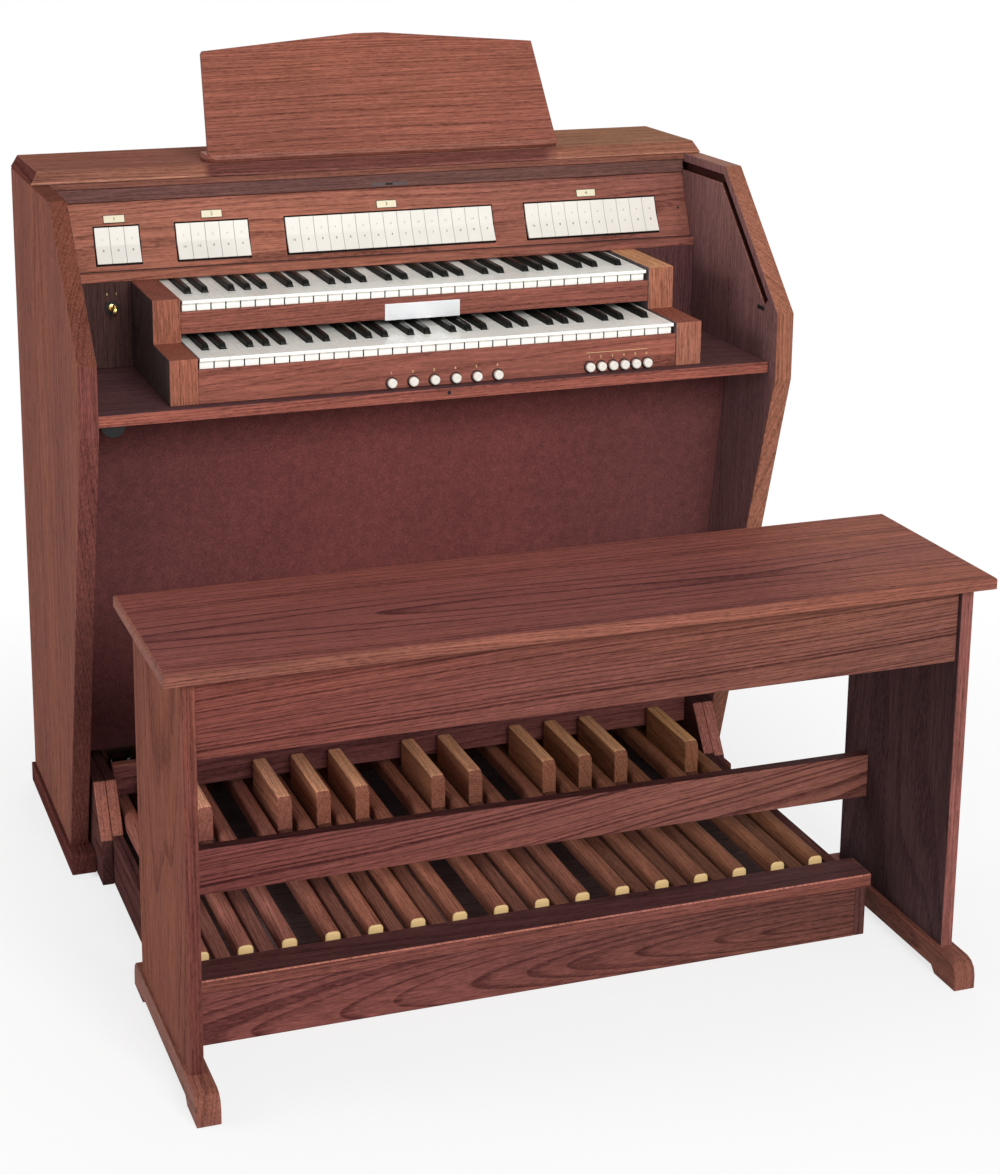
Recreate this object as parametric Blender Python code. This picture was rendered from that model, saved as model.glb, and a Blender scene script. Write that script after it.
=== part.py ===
"""Two-manual home organ with a roll top, a 27-note pedalboard and its bench.

Metres, +Z up, the player at -Y. The origin lies on the floor, in the middle of
the whole object with its bench. Widths are counted from the console's centre
line, and depths forwards from the console's back face.
"""
import math

import bmesh
import bpy
from mathutils import Vector

# General
GAP = 0.0003

# Keys of both manuals
KEY_PITCH = 0.02357
KEY_SPACING = 0.0010
NATURAL_COUNT = 33
NATURAL_THICKNESS = 0.012
NATURAL_HEAD_LENGTH = 0.050
NATURAL_LIP_OVERHANG = 0.008
NATURAL_LIP_THICKNESS = 0.005
NATURAL_DROP = 0.0185
KEY_VISIBLE_LENGTH = 0.1548
NATURAL_LENGTH = 0.2570
KEY_BAR_DEPTH = 0.014
KEY_BAR_HEIGHT = 0.0136
SHARP_WIDTH = 0.0110
SHARP_SIDE_CLEARANCE = 0.0010
SHARP_END_CLEARANCE = 0.0015
SHARP_HEIGHT = 0.0110
SHARP_SLOPE = 0.008
SHARP_TAIL_THICKNESS = 0.0061
SHARP_TAIL_EXTRA_LENGTH = 0.032
SHARP_BAR_DEPTH = 0.012
SHARP_BAR_HEIGHT = 0.0196
KEY_PIN_RADIUS = 0.0025
KEY_PIN_LENGTH = 0.006
KEY_END_MARGIN = 0.0036
# Shift of each sharp from the joint between its naturals, by the natural on its left
SHARP_SHIFTS = {"C": -0.0018, "D": 0.0018, "F": -0.0026, "G": 0.0, "A": 0.0026}
NATURAL_NAMES = "CDEFGAB"

# Where the manuals stand
UPPER_KEY_FRONT = 0.4070
MANUAL_STEP = 0.1115
MANUAL_RISE = 0.0656
LOWER_KEY_RISE = 0.0702
MANUAL_CENTRE = 0.0025

# Wood round the manuals
CHEEK_WIDTH = 0.044
CHEEK_REAR_MARGIN = 0.010
CHEEK_UNDERCUT = 0.0195
CHEEK_LOWER_RISE = 0.0010
RAIL_THICKNESS = 0.009
RAIL_GAP = 0.001
RAIL_OVER_SHARPS = 0.003
SLIP_FRONT_MARGIN = 0.0015

# Shelf and side panels
SHELF_TOP = 0.8008
SHELF_THICKNESS = 0.0185
SHELF_LIP = 0.0235
SIDE_THICKNESS = 0.029
SIDE_NOSE_LIP = 0.025
SIDE_NOSE_ABOVE_KEYS = 0.013
SIDE_NOSE_BELOW_SHELF = 0.0248
SIDE_FOOT_DEPTH = 0.348
SIDE_SHOULDER = 0.1586
PLINTH_HEIGHT = 0.0334
PLINTH_DEPTH = 0.395
PLINTH_OVERHANG = 0.0065
PLINTH_EDGE = 0.004

# Stop panel, its ledge and the tabs
LEDGE_ABOVE_KEYS = 0.0046
LEDGE_HEIGHT = 0.0137
LEDGE_STEP = 0.0151
STOP_PANEL_LEAN = math.radians(20.97)
STOP_PANEL_HEIGHT = 0.1051
STOP_PANEL_THICKNESS = 0.015
TAB_PITCH = 0.0240
TAB_SPACING = 0.0010
TAB_LENGTH = 0.060
TAB_THICKNESS = 0.004
TAB_PROUD = 0.0015
TAB_TILT = math.radians(9.0)
TAB_CENTRE_RISE = 0.0391
TAB_STEM_LENGTH = 0.010
TAB_SHAFT_RADIUS = 0.0020
TAB_SHAFT_DEPTH = 0.0060
TAB_SHAFT_SEAT = 0.005
TAB_SLOT_DEPTH = 0.0110
TAB_SLOT_END_CLEARANCE = 0.0024
TAB_SLOT_SIDE_CLEARANCE = 0.0015
TAB_GROUPS = {
    "stop_tabs_couplers": (3, -0.4479),
    "stop_tabs_pedal": (5, -0.2915),
    "stop_tabs_great": (15, 0.0115),
    "stop_tabs_swell": (10, 0.3713),
}

# Lid and roll top
LID_THICKNESS = 0.0202
LID_OVERHANG = 0.0206
LID_NOSE = 0.009
LID_FRONT_BEVEL = 0.0089
LID_END_BEVEL = 0.0115
LID_BATTEN_HEIGHT = 0.0103
LID_BATTEN_THICKNESS = 0.016
ROLL_ZONE = 0.0338
GROOVE_INSET = 0.0220
GROOVE_WIDTH = 0.0145
GROOVE_DEPTH = 0.009
GROOVE_END_ABOVE_NOSE = 0.0115
GROOVE_REAR = 0.024
ROLL_THICKNESS = 0.0135
ROLL_CANVAS = 0.002
ROLL_END_CLEARANCE = 0.0008
ROLL_REAR = 0.036
SLAT_COUNT = 8
SLAT_SPACING = 0.0015
LEAD_RAIL_DEPTH = 0.014
LEAD_RAIL_SETBACK = 0.0044
LEAD_RAIL_BELOW = 0.0107

# Music desk
DESK_CENTRE = 0.0138
DESK_LEAN = math.radians(29.9)
DESK_THICKNESS = 0.012
DESK_BOTTOM_WIDTH = 0.607
DESK_TOP_WIDTH = 0.581
DESK_CORNER_LENGTH = 0.1904
DESK_PEAK_LENGTH = 0.2146
DESK_PEAK_WIDTH = 0.050
DESK_LEDGE_WIDTH = 0.613
DESK_LEDGE_DEPTH = 0.046
DESK_LEDGE_HEIGHT = 0.0134
DESK_LEDGE_CORNER = 0.018
DESK_WEDGE_THICKNESS = 0.015
DESK_WEDGE_SPACING = 0.360
DESK_WEDGE_HEIGHT = 0.120
DESK_WEDGE_DEPTH = 0.138

# Pistons
PISTON_HEAD_RADIUS = 0.0075
PISTON_HEAD_LENGTH = 0.007
PISTON_STEM_RADIUS = 0.0045
PISTON_TRAVEL = 0.003
PISTON_HEIGHT = 0.0102
PISTON_BAR_THICKNESS = 0.005
PISTON_BAR_HEIGHT = 0.010
PISTON_BAR_BEHIND = 0.011
PISTON_GROUPS = {
    "pistons_centre": (6, 0.0350, 0.0018),
    "pistons_right": (6, 0.0198, 0.2944),
}
PISTON_SIDES = 12

# Set-back board and the key switch in it
SETBACK_THICKNESS = 0.012
SETBACK_RAIL_HEIGHT = 0.0155
SWITCH_FROM_PANEL = 0.085
SWITCH_ABOVE_SHELF = 0.0982
SWITCH_BARREL_RADIUS = 0.0068
SWITCH_BARREL_PROUD = 0.0017
SWITCH_KEY_NECK = 0.009
SWITCH_BOW_RADIUS = 0.0105
SWITCH_BOW_THICKNESS = 0.0025
SWITCH_NECK_HEIGHT = 0.007

# Kick panel, loudspeaker, amplifier and back
KICK_TOP_DEPTH = 0.3956
KICK_BOTTOM_DEPTH = 0.2990
KICK_BOTTOM = 0.170
KICK_THICKNESS = 0.016
SPEAKER_SLOTS = 9
SPEAKER_SLOT_PITCH = 0.018
SPEAKER_SLOT_WIDTH = 0.008
SPEAKER_SLOT_LENGTH = 0.150
SPEAKER_OFFSET = -0.260
SPEAKER_ALONG_PANEL = 0.300
SPEAKER_RADIUS = 0.100
SPEAKER_FLANGE = 0.006
SPEAKER_BASKET_RADIUS = 0.084
SPEAKER_BASKET_DEPTH = 0.052
SPEAKER_MAGNET_RADIUS = 0.048
SPEAKER_MAGNET_DEPTH = 0.026
BACK_THICKNESS = 0.010
BACK_BOTTOM = 0.040
VENT_ROWS = 2
VENT_COLUMNS = 7
VENT_LENGTH = 0.090
VENT_HEIGHT = 0.008
VENT_PITCH_X = 0.130
VENT_PITCH_Z = 0.026
VENT_BELOW_TOP = 0.090
INLET_OFFSET = 0.400
INLET_HEIGHT = 0.150
INLET_WIDTH = 0.028
INLET_TALL = 0.020
INLET_DEPTH = 0.016
INLET_WALL = 0.005
AMPLIFIER_OFFSET = 0.270
AMPLIFIER_WIDTH = 0.320
AMPLIFIER_BOTTOM = 0.480
AMPLIFIER_HEIGHT = 0.170
AMPLIFIER_DEPTH = 0.080
FIN_COUNT = 9
FIN_PITCH = 0.020
FIN_THICKNESS = 0.004
FIN_DEPTH = 0.025
FIN_END_MARGIN = 0.020

# Pedals
PEDAL_PITCH = 0.06446
PEDAL_WIDTH = 0.0235
PEDAL_HEIGHT = 0.0235
PEDAL_REAR = 0.150
PEDAL_PIVOT = 0.172
PEDAL_REAR_TOP = 0.1062
PEDAL_FRONT_TOP = 0.1085
PEDAL_TRAVEL = 0.0128
PEDAL_ROUNDING = 0.006
PEDAL_ARC_STEPS = 3
PEDAL_LOW_HEIGHT = 0.0110
PEDAL_FRONT_GAP = 0.0045
SHARP_BLOCK_HEIGHT = 0.1500
SHARP_BLOCK_LENGTH = 0.158
SHARP_BLOCK_WIDTH = 0.0230
SHARP_BLOCK_NOSE = 0.010
TOE_BOARD_TO_BLOCK = 0.012
NATURAL_PEDALS = 16

# Pedal frame
FRAME_BOARD = 0.018
FRAME_LEFT_MARGIN = 0.0170
FRAME_RIGHT_MARGIN = 0.0351
FRAME_SIDE_HEIGHT = 0.080
FRAME_FRONT = 0.9685
FRAME_CAP_DEPTH = 0.0585
FRAME_CAP_THICKNESS = 0.020
FRAME_CAP_TOP = 0.099
FRAME_CAP_OVERHANG = 0.008
STOP_LEDGE_DEPTH = 0.070
STOP_LEDGE_THICKNESS = 0.0215
FRAME_BASE_HEIGHT = 0.004
FRAME_BASE_THICKNESS = 0.005
TOE_BOARD_FRONT = 0.360
TOE_BOARD_TOP = 0.165
TOE_BOARD_CLEARANCE = 0.005
FRAME_CHEEK = 0.0190
FRAME_CHEEK_TOP = 0.155
FRAME_CHEEK_REAR = 0.200
FRAME_CHEEK_FRONT_TOP = 0.390
FRAME_CHEEK_FRONT = 0.445
FRAME_CHEEK_RAKE_BOTTOM = 0.075
FRAME_TO_PANEL = 0.0045

# Bench
BENCH_SHIFT = 0.0178
BENCH_SIDE_CLEARANCE = 0.0206
BENCH_TOP = 0.6161
BENCH_TOP_THICKNESS = 0.0177
BENCH_TOP_REAR = 0.8052
BENCH_TOP_DEPTH = 0.3206
BENCH_TOP_OVERHANG = 0.0259
BENCH_TOP_EDGE = 0.003
BENCH_BOARD = 0.019
BENCH_LEG_REAR = 0.804
BENCH_LEG_DEPTH = 0.3046
BENCH_RUNNER_WIDTH = 0.0335
BENCH_RUNNER_LIP = 0.0052
BENCH_RUNNER_HEIGHT = 0.043
BENCH_RUNNER_REAR = 0.769
BENCH_RUNNER_FRONT = 1.165
BENCH_RUNNER_PAD = 0.0560
BENCH_RUNNER_RELIEF = 0.010
BENCH_RUNNER_NOSE = 0.022
BENCH_APRON_HEIGHT = 0.112
BENCH_APRON_SETBACK = 0.0248
BENCH_STRETCHER_BOTTOM = 0.182
BENCH_STRETCHER_HEIGHT = 0.069
BENCH_STRETCHER_FRONT = 0.878

# Round pieces
ROUND_SIDES = 24
SMALL_ROUND_SIDES = 8

# Colours as linear RGB, with metallic value and roughness
FINISHES = {
    "oak": ((0.245, 0.070, 0.042), 0.0, 0.45),
    "oak_dark": ((0.120, 0.036, 0.026), 0.0, 0.50),
    "pedal_oak": ((0.420, 0.200, 0.080), 0.0, 0.50),
    "cloth_board": ((0.130, 0.034, 0.026), 0.0, 0.85),
    "key_white": ((0.860, 0.850, 0.780), 0.0, 0.25),
    "key_black": ((0.012, 0.012, 0.012), 0.0, 0.20),
    "tab_white": ((0.880, 0.870, 0.820), 0.0, 0.30),
    "brass": ((0.720, 0.520, 0.180), 1.0, 0.30),
    "black_metal": ((0.020, 0.020, 0.020), 0.6, 0.50),
    "grey_metal": ((0.420, 0.430, 0.440), 0.9, 0.40),
    "hardboard": ((0.200, 0.110, 0.060), 0.0, 0.80),
}

# Heights worked out from the driving dimensions
LOWER_KEY_TOP = SHELF_TOP + LOWER_KEY_RISE
UPPER_KEY_TOP = LOWER_KEY_TOP + MANUAL_RISE
SHELF_BOTTOM = SHELF_TOP - SHELF_THICKNESS
LEDGE_BOTTOM = UPPER_KEY_TOP + LEDGE_ABOVE_KEYS
LEDGE_TOP = LEDGE_BOTTOM + LEDGE_HEIGHT
STOP_PANEL_TOP = LEDGE_TOP + STOP_PANEL_HEIGHT
SIDE_TOP = STOP_PANEL_TOP + ROLL_ZONE
LID_BOTTOM = SIDE_TOP + GAP
LID_TOP = LID_BOTTOM + LID_THICKNESS
LID_BATTEN_BOTTOM = LID_BOTTOM - LID_BATTEN_HEIGHT
ROLL_CENTRE = SIDE_TOP - GROOVE_INSET

# Depths worked out from the driving dimensions
LOWER_KEY_FRONT = UPPER_KEY_FRONT + MANUAL_STEP
SHELF_FRONT = LOWER_KEY_FRONT + SHELF_LIP
SIDE_NOSE = SHELF_FRONT + SIDE_NOSE_LIP
LEDGE_FRONT = UPPER_KEY_FRONT - KEY_VISIBLE_LENGTH
SETBACK_FRONT = LEDGE_FRONT - 3 * GAP
INSIDE_FRONT_OF_BACK = BACK_THICKNESS + GAP


def stop_plane(height):
    """Depth of the stop panel's front at a height."""
    return LEDGE_FRONT - LEDGE_STEP - (height - LEDGE_TOP) * math.tan(STOP_PANEL_LEAN)


LID_FRONT = stop_plane(LID_BOTTOM) + LID_OVERHANG
SIDE_SHOULDER_DEPTH = LID_FRONT + SIDE_SHOULDER
LEAD_RAIL_FRONT = LID_FRONT - LEAD_RAIL_SETBACK

# Widths worked out from the driving dimensions
PEDAL_SPAN = (NATURAL_PEDALS - 1) * PEDAL_PITCH
FRAME_INSIDE = PEDAL_SPAN + FRAME_LEFT_MARGIN + FRAME_RIGHT_MARGIN
FRAME_HALF = FRAME_INSIDE / 2 + FRAME_BOARD
FIRST_PEDAL = -FRAME_INSIDE / 2 + FRAME_LEFT_MARGIN
INSIDE_HALF = FRAME_HALF + FRAME_CHEEK + FRAME_TO_PANEL
CONSOLE_HALF = INSIDE_HALF + SIDE_THICKNESS
MANUAL_HALF = NATURAL_COUNT * KEY_PITCH / 2
CHEEK_INSIDE = MANUAL_HALF + KEY_END_MARGIN
CHEEK_OUTSIDE = CHEEK_INSIDE + CHEEK_WIDTH

# Place of the bench, and of the origin in the middle of the whole object
BENCH_LEG_INSIDE = FRAME_HALF + FRAME_CAP_OVERHANG + BENCH_SIDE_CLEARANCE
BENCH_LEG_OUTSIDE = BENCH_LEG_INSIDE + BENCH_BOARD
RIGHT_END = BENCH_SHIFT + BENCH_LEG_OUTSIDE + BENCH_TOP_OVERHANG
LEFT_END = -CONSOLE_HALF - PLINTH_OVERHANG
CENTRE_LINE_X = -(LEFT_END + RIGHT_END) / 2
BACK_TO_ORIGIN = BENCH_RUNNER_FRONT / 2

# Pedals
FRAME_CAP_REAR = FRAME_FRONT - FRAME_CAP_DEPTH
PEDAL_FRONT = FRAME_CAP_REAR - PEDAL_FRONT_GAP
PEDAL_SLOPE = (PEDAL_FRONT_TOP - PEDAL_REAR_TOP) / (PEDAL_FRONT - PEDAL_REAR)


def world_y(depth):
    return BACK_TO_ORIGIN - depth


def pedal_top(depth):
    """Height of a natural pedal's top at a depth."""
    return PEDAL_REAR_TOP + (depth - PEDAL_REAR) * PEDAL_SLOPE


def pedal_bottom(depth):
    return pedal_top(depth) - PEDAL_HEIGHT


# Tools for making meshes

def clear_scene():
    for item in list(bpy.data.objects):
        bpy.data.objects.remove(item, do_unlink=True)


def centre_line():
    """The empty on the console's centre line that carries every piece."""
    found = bpy.data.objects.get("centre_line")
    if found is None:
        found = bpy.data.objects.new("centre_line", None)
        found.location.x = CENTRE_LINE_X
        bpy.context.scene.collection.objects.link(found)
    return found


def finish_material(name):
    """The named finish as a Principled material, made once."""
    found = bpy.data.materials.get(name)
    if found:
        return found
    colour, metallic, roughness = FINISHES[name]
    made = bpy.data.materials.new(name)
    made.use_nodes = True
    shader = made.node_tree.nodes["Principled BSDF"]
    shader.inputs["Base Color"].default_value = (*colour, 1.0)
    shader.inputs["Metallic"].default_value = metallic
    shader.inputs["Roughness"].default_value = roughness
    made.diffuse_color = (*colour, 1.0)
    return made


def new_object(name, mesh_maker):
    """An object whose mesh is what mesh_maker leaves, faces turned outwards."""
    work = bmesh.new()
    mesh_maker(work)
    bmesh.ops.recalc_face_normals(work, faces=work.faces)
    mesh = bpy.data.meshes.new(name)
    work.to_mesh(mesh)
    work.free()
    made = bpy.data.objects.new(name, mesh)
    made.parent = centre_line()
    bpy.context.scene.collection.objects.link(made)
    return made


def add_loft(work, rings):
    """A closed body through rings of points that have as many points each."""
    levels = [[work.verts.new(point) for point in ring] for ring in rings]
    count = len(levels[0])
    for low, high in zip(levels, levels[1:]):
        for here in range(count):
            after = (here + 1) % count
            work.faces.new((low[here], low[after], high[after], high[here]))
    work.faces.new(list(reversed(levels[0])))
    work.faces.new(levels[-1])


def add_side_prism(work, outline, left, right):
    """An outline of (depth, height) points, run across from left to right."""
    rings = [[(x, world_y(depth), z) for depth, z in outline] for x in (left, right)]
    add_loft(work, rings)


def add_box(work, xs, depths, heights):
    near, far = depths
    low, high = heights
    outline = [(near, low), (far, low), (far, high), (near, high)]
    add_side_prism(work, outline, *xs)


def side_prism(name, outline, left, right):
    return new_object(name, lambda work: add_side_prism(work, outline, left, right))


def box(name, xs, depths, heights):
    return new_object(name, lambda work: add_box(work, xs, depths, heights))


def boxes(name, items):
    def make(work):
        for xs, depths, heights in items:
            add_box(work, xs, depths, heights)
    return new_object(name, make)


def circle(radius, sides):
    """Points of a circle that has the real radius on its flats' middles."""
    outer = radius / math.cos(math.pi / sides)
    angles = [math.pi / sides + 2 * math.pi * step / sides for step in range(sides)]
    return [(outer * math.cos(angle), outer * math.sin(angle)) for angle in angles]


def add_rod(work, start, end, radius, sides=SMALL_ROUND_SIDES):
    """A round rod between two points along X or Y."""
    along_x = abs(end[0] - start[0]) > abs(end[1] - start[1])
    rings = []
    for centre in (start, end):
        spots = []
        for one, two in circle(radius, sides):
            offset = (0, one, two) if along_x else (one, 0, two)
            spots.append(tuple(Vector(centre) + Vector(offset)))
        rings.append(spots)
    add_loft(work, rings)


def rods(name, items, sides=SMALL_ROUND_SIDES):
    def make(work):
        for start, end, radius in items:
            add_rod(work, start, end, radius, sides)
    return new_object(name, make)


def combine(target, tool, operation):
    """Join a tool to a piece, or cut it out of it."""
    step = target.modifiers.new(f"{operation.lower()}_{tool.name}"[:60], "BOOLEAN")
    step.operation = operation
    step.solver = "EXACT"
    step.object = tool
    tool.hide_render = True
    tool.display_type = "WIRE"
    return target


def join(target, *tools):
    for tool in tools:
        combine(target, tool, "UNION")
    return target


def cut(target, *tools):
    for tool in tools:
        combine(target, tool, "DIFFERENCE")
    return target


def paint(piece, finish):
    piece.data.materials.clear()
    piece.data.materials.append(finish_material(finish))
    return piece


def move_origin(piece, point):
    """Put a piece's origin on its joint without moving its shape."""
    for vertex in piece.data.vertices:
        vertex.co -= Vector(point)
    piece.location = point
    return piece


def arc(centre, radius, start, end, steps):
    """Points of an arc between two angles in degrees, both ends kept."""
    angles = [math.radians(start + (end - start) * step / steps) for step in range(steps + 1)]
    return [(centre[0] + radius * math.cos(a), centre[1] + radius * math.sin(a)) for a in angles]


# Side panels

def groove_line():
    """Middle of the roll-top groove: level under the lid, then down the sloping edge."""
    nose_top = LOWER_KEY_TOP + SIDE_NOSE_ABOVE_KEYS
    edge = Vector((SIDE_NOSE - SIDE_SHOULDER_DEPTH, nose_top - SIDE_TOP)).normalized()
    inward = Vector((edge.y, -edge.x))
    on_slope = Vector((SIDE_SHOULDER_DEPTH, SIDE_TOP)) + inward * GROOVE_INSET
    bend = on_slope + edge * (ROLL_CENTRE - on_slope.y) / edge.y
    end_height = nose_top + GROOVE_END_ABOVE_NOSE
    end = on_slope + edge * (end_height - on_slope.y) / edge.y
    return [Vector((GROOVE_REAR, ROLL_CENTRE)), bend, end]


def groove_outline():
    """The groove's outline, mitred where it bends."""
    start, bend, end = groove_line()
    half = GROOVE_WIDTH / 2
    first = (bend - start).normalized()
    second = (end - bend).normalized()
    first_side = Vector((-first.y, first.x)) * half
    second_side = Vector((-second.y, second.x)) * half
    mitre = (first_side + second_side).normalized()
    mitre *= half / mitre.dot(first_side.normalized())
    upper = [start + first_side, bend + mitre, end + second_side]
    lower = [end - second_side, bend - mitre, start - first_side]
    return [tuple(point) for point in upper + lower]


def side_outline():
    return [
        (0, PLINTH_HEIGHT - PLINTH_EDGE),
        (0, SIDE_TOP),
        (SIDE_SHOULDER_DEPTH, SIDE_TOP),
        (SIDE_NOSE, LOWER_KEY_TOP + SIDE_NOSE_ABOVE_KEYS),
        (SIDE_NOSE, SHELF_TOP - SIDE_NOSE_BELOW_SHELF),
        (SIDE_FOOT_DEPTH, PLINTH_HEIGHT - PLINTH_EDGE),
    ]


def plinth_outline():
    return [
        (0, 0),
        (PLINTH_DEPTH, 0),
        (PLINTH_DEPTH, PLINTH_HEIGHT - PLINTH_EDGE),
        (PLINTH_DEPTH - PLINTH_EDGE, PLINTH_HEIGHT),
        (0, PLINTH_HEIGHT),
    ]


def side_panel(name, side):
    """A side panel with the roll top's groove, on the plinth that the pedal frame slides along."""
    inner = side * INSIDE_HALF
    outer = side * CONSOLE_HALF
    panel = side_prism(name, side_outline(), inner, outer)
    plinth_inner = side * (FRAME_HALF + FRAME_CHEEK + GAP)
    plinth_outer = outer + side * PLINTH_OVERHANG
    plinth = side_prism(f"{name}_plinth", plinth_outline(), plinth_inner, plinth_outer)
    past_face = inner - side * GROOVE_DEPTH
    groove = side_prism(f"{name}_groove", groove_outline(), past_face, inner + side * GROOVE_DEPTH)
    join(panel, plinth)
    cut(panel, groove)
    return paint(panel, "oak")


# Lid, roll top and back

def lid():
    """The lid with a low nose and a bevel above it, and the batten under its front edge."""
    def ring(inset_x, inset_front, height):
        half = CONSOLE_HALF - inset_x
        front = LID_FRONT - inset_front
        return [
            (-half, world_y(0), height),
            (-half, world_y(front), height),
            (half, world_y(front), height),
            (half, world_y(0), height),
        ]

    rings = [
        ring(0, 0, LID_BOTTOM),
        ring(0, 0, LID_BOTTOM + LID_NOSE),
        ring(LID_END_BEVEL, LID_FRONT_BEVEL, LID_TOP),
    ]
    board = new_object("lid", lambda work: add_loft(work, rings))
    half = INSIDE_HALF - GAP
    front = LID_FRONT - GAP
    batten = box(
        "lid_batten",
        (-half, half),
        (front - LID_BATTEN_THICKNESS, front),
        (LID_BATTEN_BOTTOM, LID_BOTTOM + GAP),
    )
    return paint(join(board, batten), "oak")


def roll_top():
    """The slatted roll top with its lead rail, drawn back under the lid."""
    reach = INSIDE_HALF + GROOVE_DEPTH - ROLL_END_CLEARANCE
    bottom = ROLL_CENTRE - ROLL_THICKNESS / 2
    top = ROLL_CENTRE + ROLL_THICKNESS / 2
    rail_rear = LEAD_RAIL_FRONT - LEAD_RAIL_DEPTH
    canvas = box(
        "roll_top",
        (-reach, reach),
        (ROLL_REAR, LEAD_RAIL_FRONT - LEAD_RAIL_DEPTH / 2),
        (bottom, bottom + ROLL_CANVAS),
    )
    pitch = (rail_rear - ROLL_REAR) / SLAT_COUNT
    slats = []
    for index in range(SLAT_COUNT):
        rear = ROLL_REAR + index * pitch
        depths = (rear, rear + pitch - SLAT_SPACING)
        slats.append(((-reach, reach), depths, (bottom + ROLL_CANVAS / 2, top)))
    half = INSIDE_HALF - 2 * GAP
    rail = box(
        "lead_rail_body",
        (-half, half),
        (rail_rear, LEAD_RAIL_FRONT),
        (ROLL_CENTRE - LEAD_RAIL_BELOW, LID_BATTEN_BOTTOM - 2 * GAP),
    )
    join(canvas, boxes("roll_top_slats", slats), rail)
    return paint(canvas, "oak_dark")


def back_panel():
    """The back with its air slots and the mains inlet's recess."""
    half = INSIDE_HALF - GAP
    top = LID_BOTTOM - GAP
    panel = box("back_panel", (-half, half), (0, BACK_THICKNESS), (BACK_BOTTOM, top))
    slots = []
    for row in range(VENT_ROWS):
        height = SIDE_TOP - VENT_BELOW_TOP - row * VENT_PITCH_Z
        for column in range(VENT_COLUMNS):
            middle = (column - (VENT_COLUMNS - 1) / 2) * VENT_PITCH_X
            xs = (middle - VENT_LENGTH / 2, middle + VENT_LENGTH / 2)
            slots.append((xs, (-BACK_THICKNESS, 2 * BACK_THICKNESS), (height, height + VENT_HEIGHT)))
    inlet_left = INLET_OFFSET - INLET_WIDTH / 2
    inlet_right = INLET_OFFSET + INLET_WIDTH / 2
    housing = box(
        "inlet_housing",
        (inlet_left - INLET_WALL, inlet_right + INLET_WALL),
        (BACK_THICKNESS / 2, INLET_DEPTH + INLET_WALL),
        (INLET_HEIGHT - INLET_WALL, INLET_HEIGHT + INLET_TALL + INLET_WALL),
    )
    recess = box(
        "inlet_recess",
        (inlet_left, inlet_right),
        (-BACK_THICKNESS, INLET_DEPTH),
        (INLET_HEIGHT, INLET_HEIGHT + INLET_TALL),
    )
    join(panel, housing)
    cut(panel, boxes("back_vents", slots), recess)
    return paint(panel, "hardboard")


# Stop panel and tabs

TAB_CENTRE_HEIGHT = LEDGE_TOP + TAB_CENTRE_RISE


def on_stop_panel(outward, up):
    """A point at a distance out of the stop panel and up along it from the tabs' middle."""
    lean = STOP_PANEL_LEAN
    depth = stop_plane(TAB_CENTRE_HEIGHT) + outward * math.cos(lean) - up * math.sin(lean)
    height = TAB_CENTRE_HEIGHT + outward * math.sin(lean) + up * math.cos(lean)
    return depth, height


def tab_shaft_point(x):
    depth, height = on_stop_panel(-TAB_SHAFT_DEPTH, 0)
    return x, world_y(depth), height


def tab_group_half(count):
    return count * TAB_PITCH / 2


def stop_panel():
    """The leaning stop panel with its ledge and a black recess for each group of tabs."""
    half = INSIDE_HALF - GAP
    wall = STOP_PANEL_THICKNESS / math.cos(STOP_PANEL_LEAN)
    top = STOP_PANEL_TOP
    outline = [
        (stop_plane(top), top),
        (stop_plane(LEDGE_TOP), LEDGE_TOP),
        (LEDGE_FRONT, LEDGE_TOP),
        (LEDGE_FRONT, LEDGE_BOTTOM),
        (stop_plane(LEDGE_TOP) - wall, LEDGE_BOTTOM),
        (stop_plane(LEDGE_TOP) - wall, LEDGE_TOP),
        (stop_plane(top) - wall, top),
    ]
    panel = side_prism("stop_panel", outline, -half, half)
    reach = TAB_LENGTH / 2 + TAB_SLOT_END_CLEARANCE
    corners = [
        (-TAB_SLOT_DEPTH, -reach),
        (TAB_LENGTH, -reach),
        (TAB_LENGTH, reach),
        (-TAB_SLOT_DEPTH, reach),
    ]
    slot_outline = [on_stop_panel(*corner) for corner in corners]
    slots = []
    bores = []
    for count, centre in TAB_GROUPS.values():
        slot_half = tab_group_half(count) + TAB_SLOT_SIDE_CLEARANCE
        slots.append((centre - slot_half, centre + slot_half))
        bore_half = slot_half + TAB_SHAFT_SEAT
        start = tab_shaft_point(centre - bore_half)
        end = tab_shaft_point(centre + bore_half)
        bores.append((start, end, TAB_SHAFT_RADIUS + GAP))

    def make_slots(work):
        for left, right in slots:
            add_side_prism(work, slot_outline, left, right)

    cut(panel, new_object("tab_slots", make_slots), rods("tab_shaft_bores", bores))
    return paint(panel, "oak")


def tab_outline():
    """A rocker tab from the side: its upper half lies flat, its lower half stands out."""
    half = TAB_LENGTH / 2
    lower_out = TAB_PROUD + half * math.tan(TAB_TILT)
    back = TAB_PROUD - TAB_THICKNESS
    stem = TAB_STEM_LENGTH / 2
    stem_end = -TAB_SHAFT_DEPTH - TAB_SHAFT_RADIUS
    points = [
        (TAB_PROUD, half),
        (back, half),
        (back, stem),
        (stem_end, stem / 2),
        (stem_end, -stem / 2),
        (back, -stem),
        (lower_out - TAB_THICKNESS, -half),
        (lower_out, -half),
        (TAB_PROUD, 0),
    ]
    return [on_stop_panel(*point) for point in points]


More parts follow.
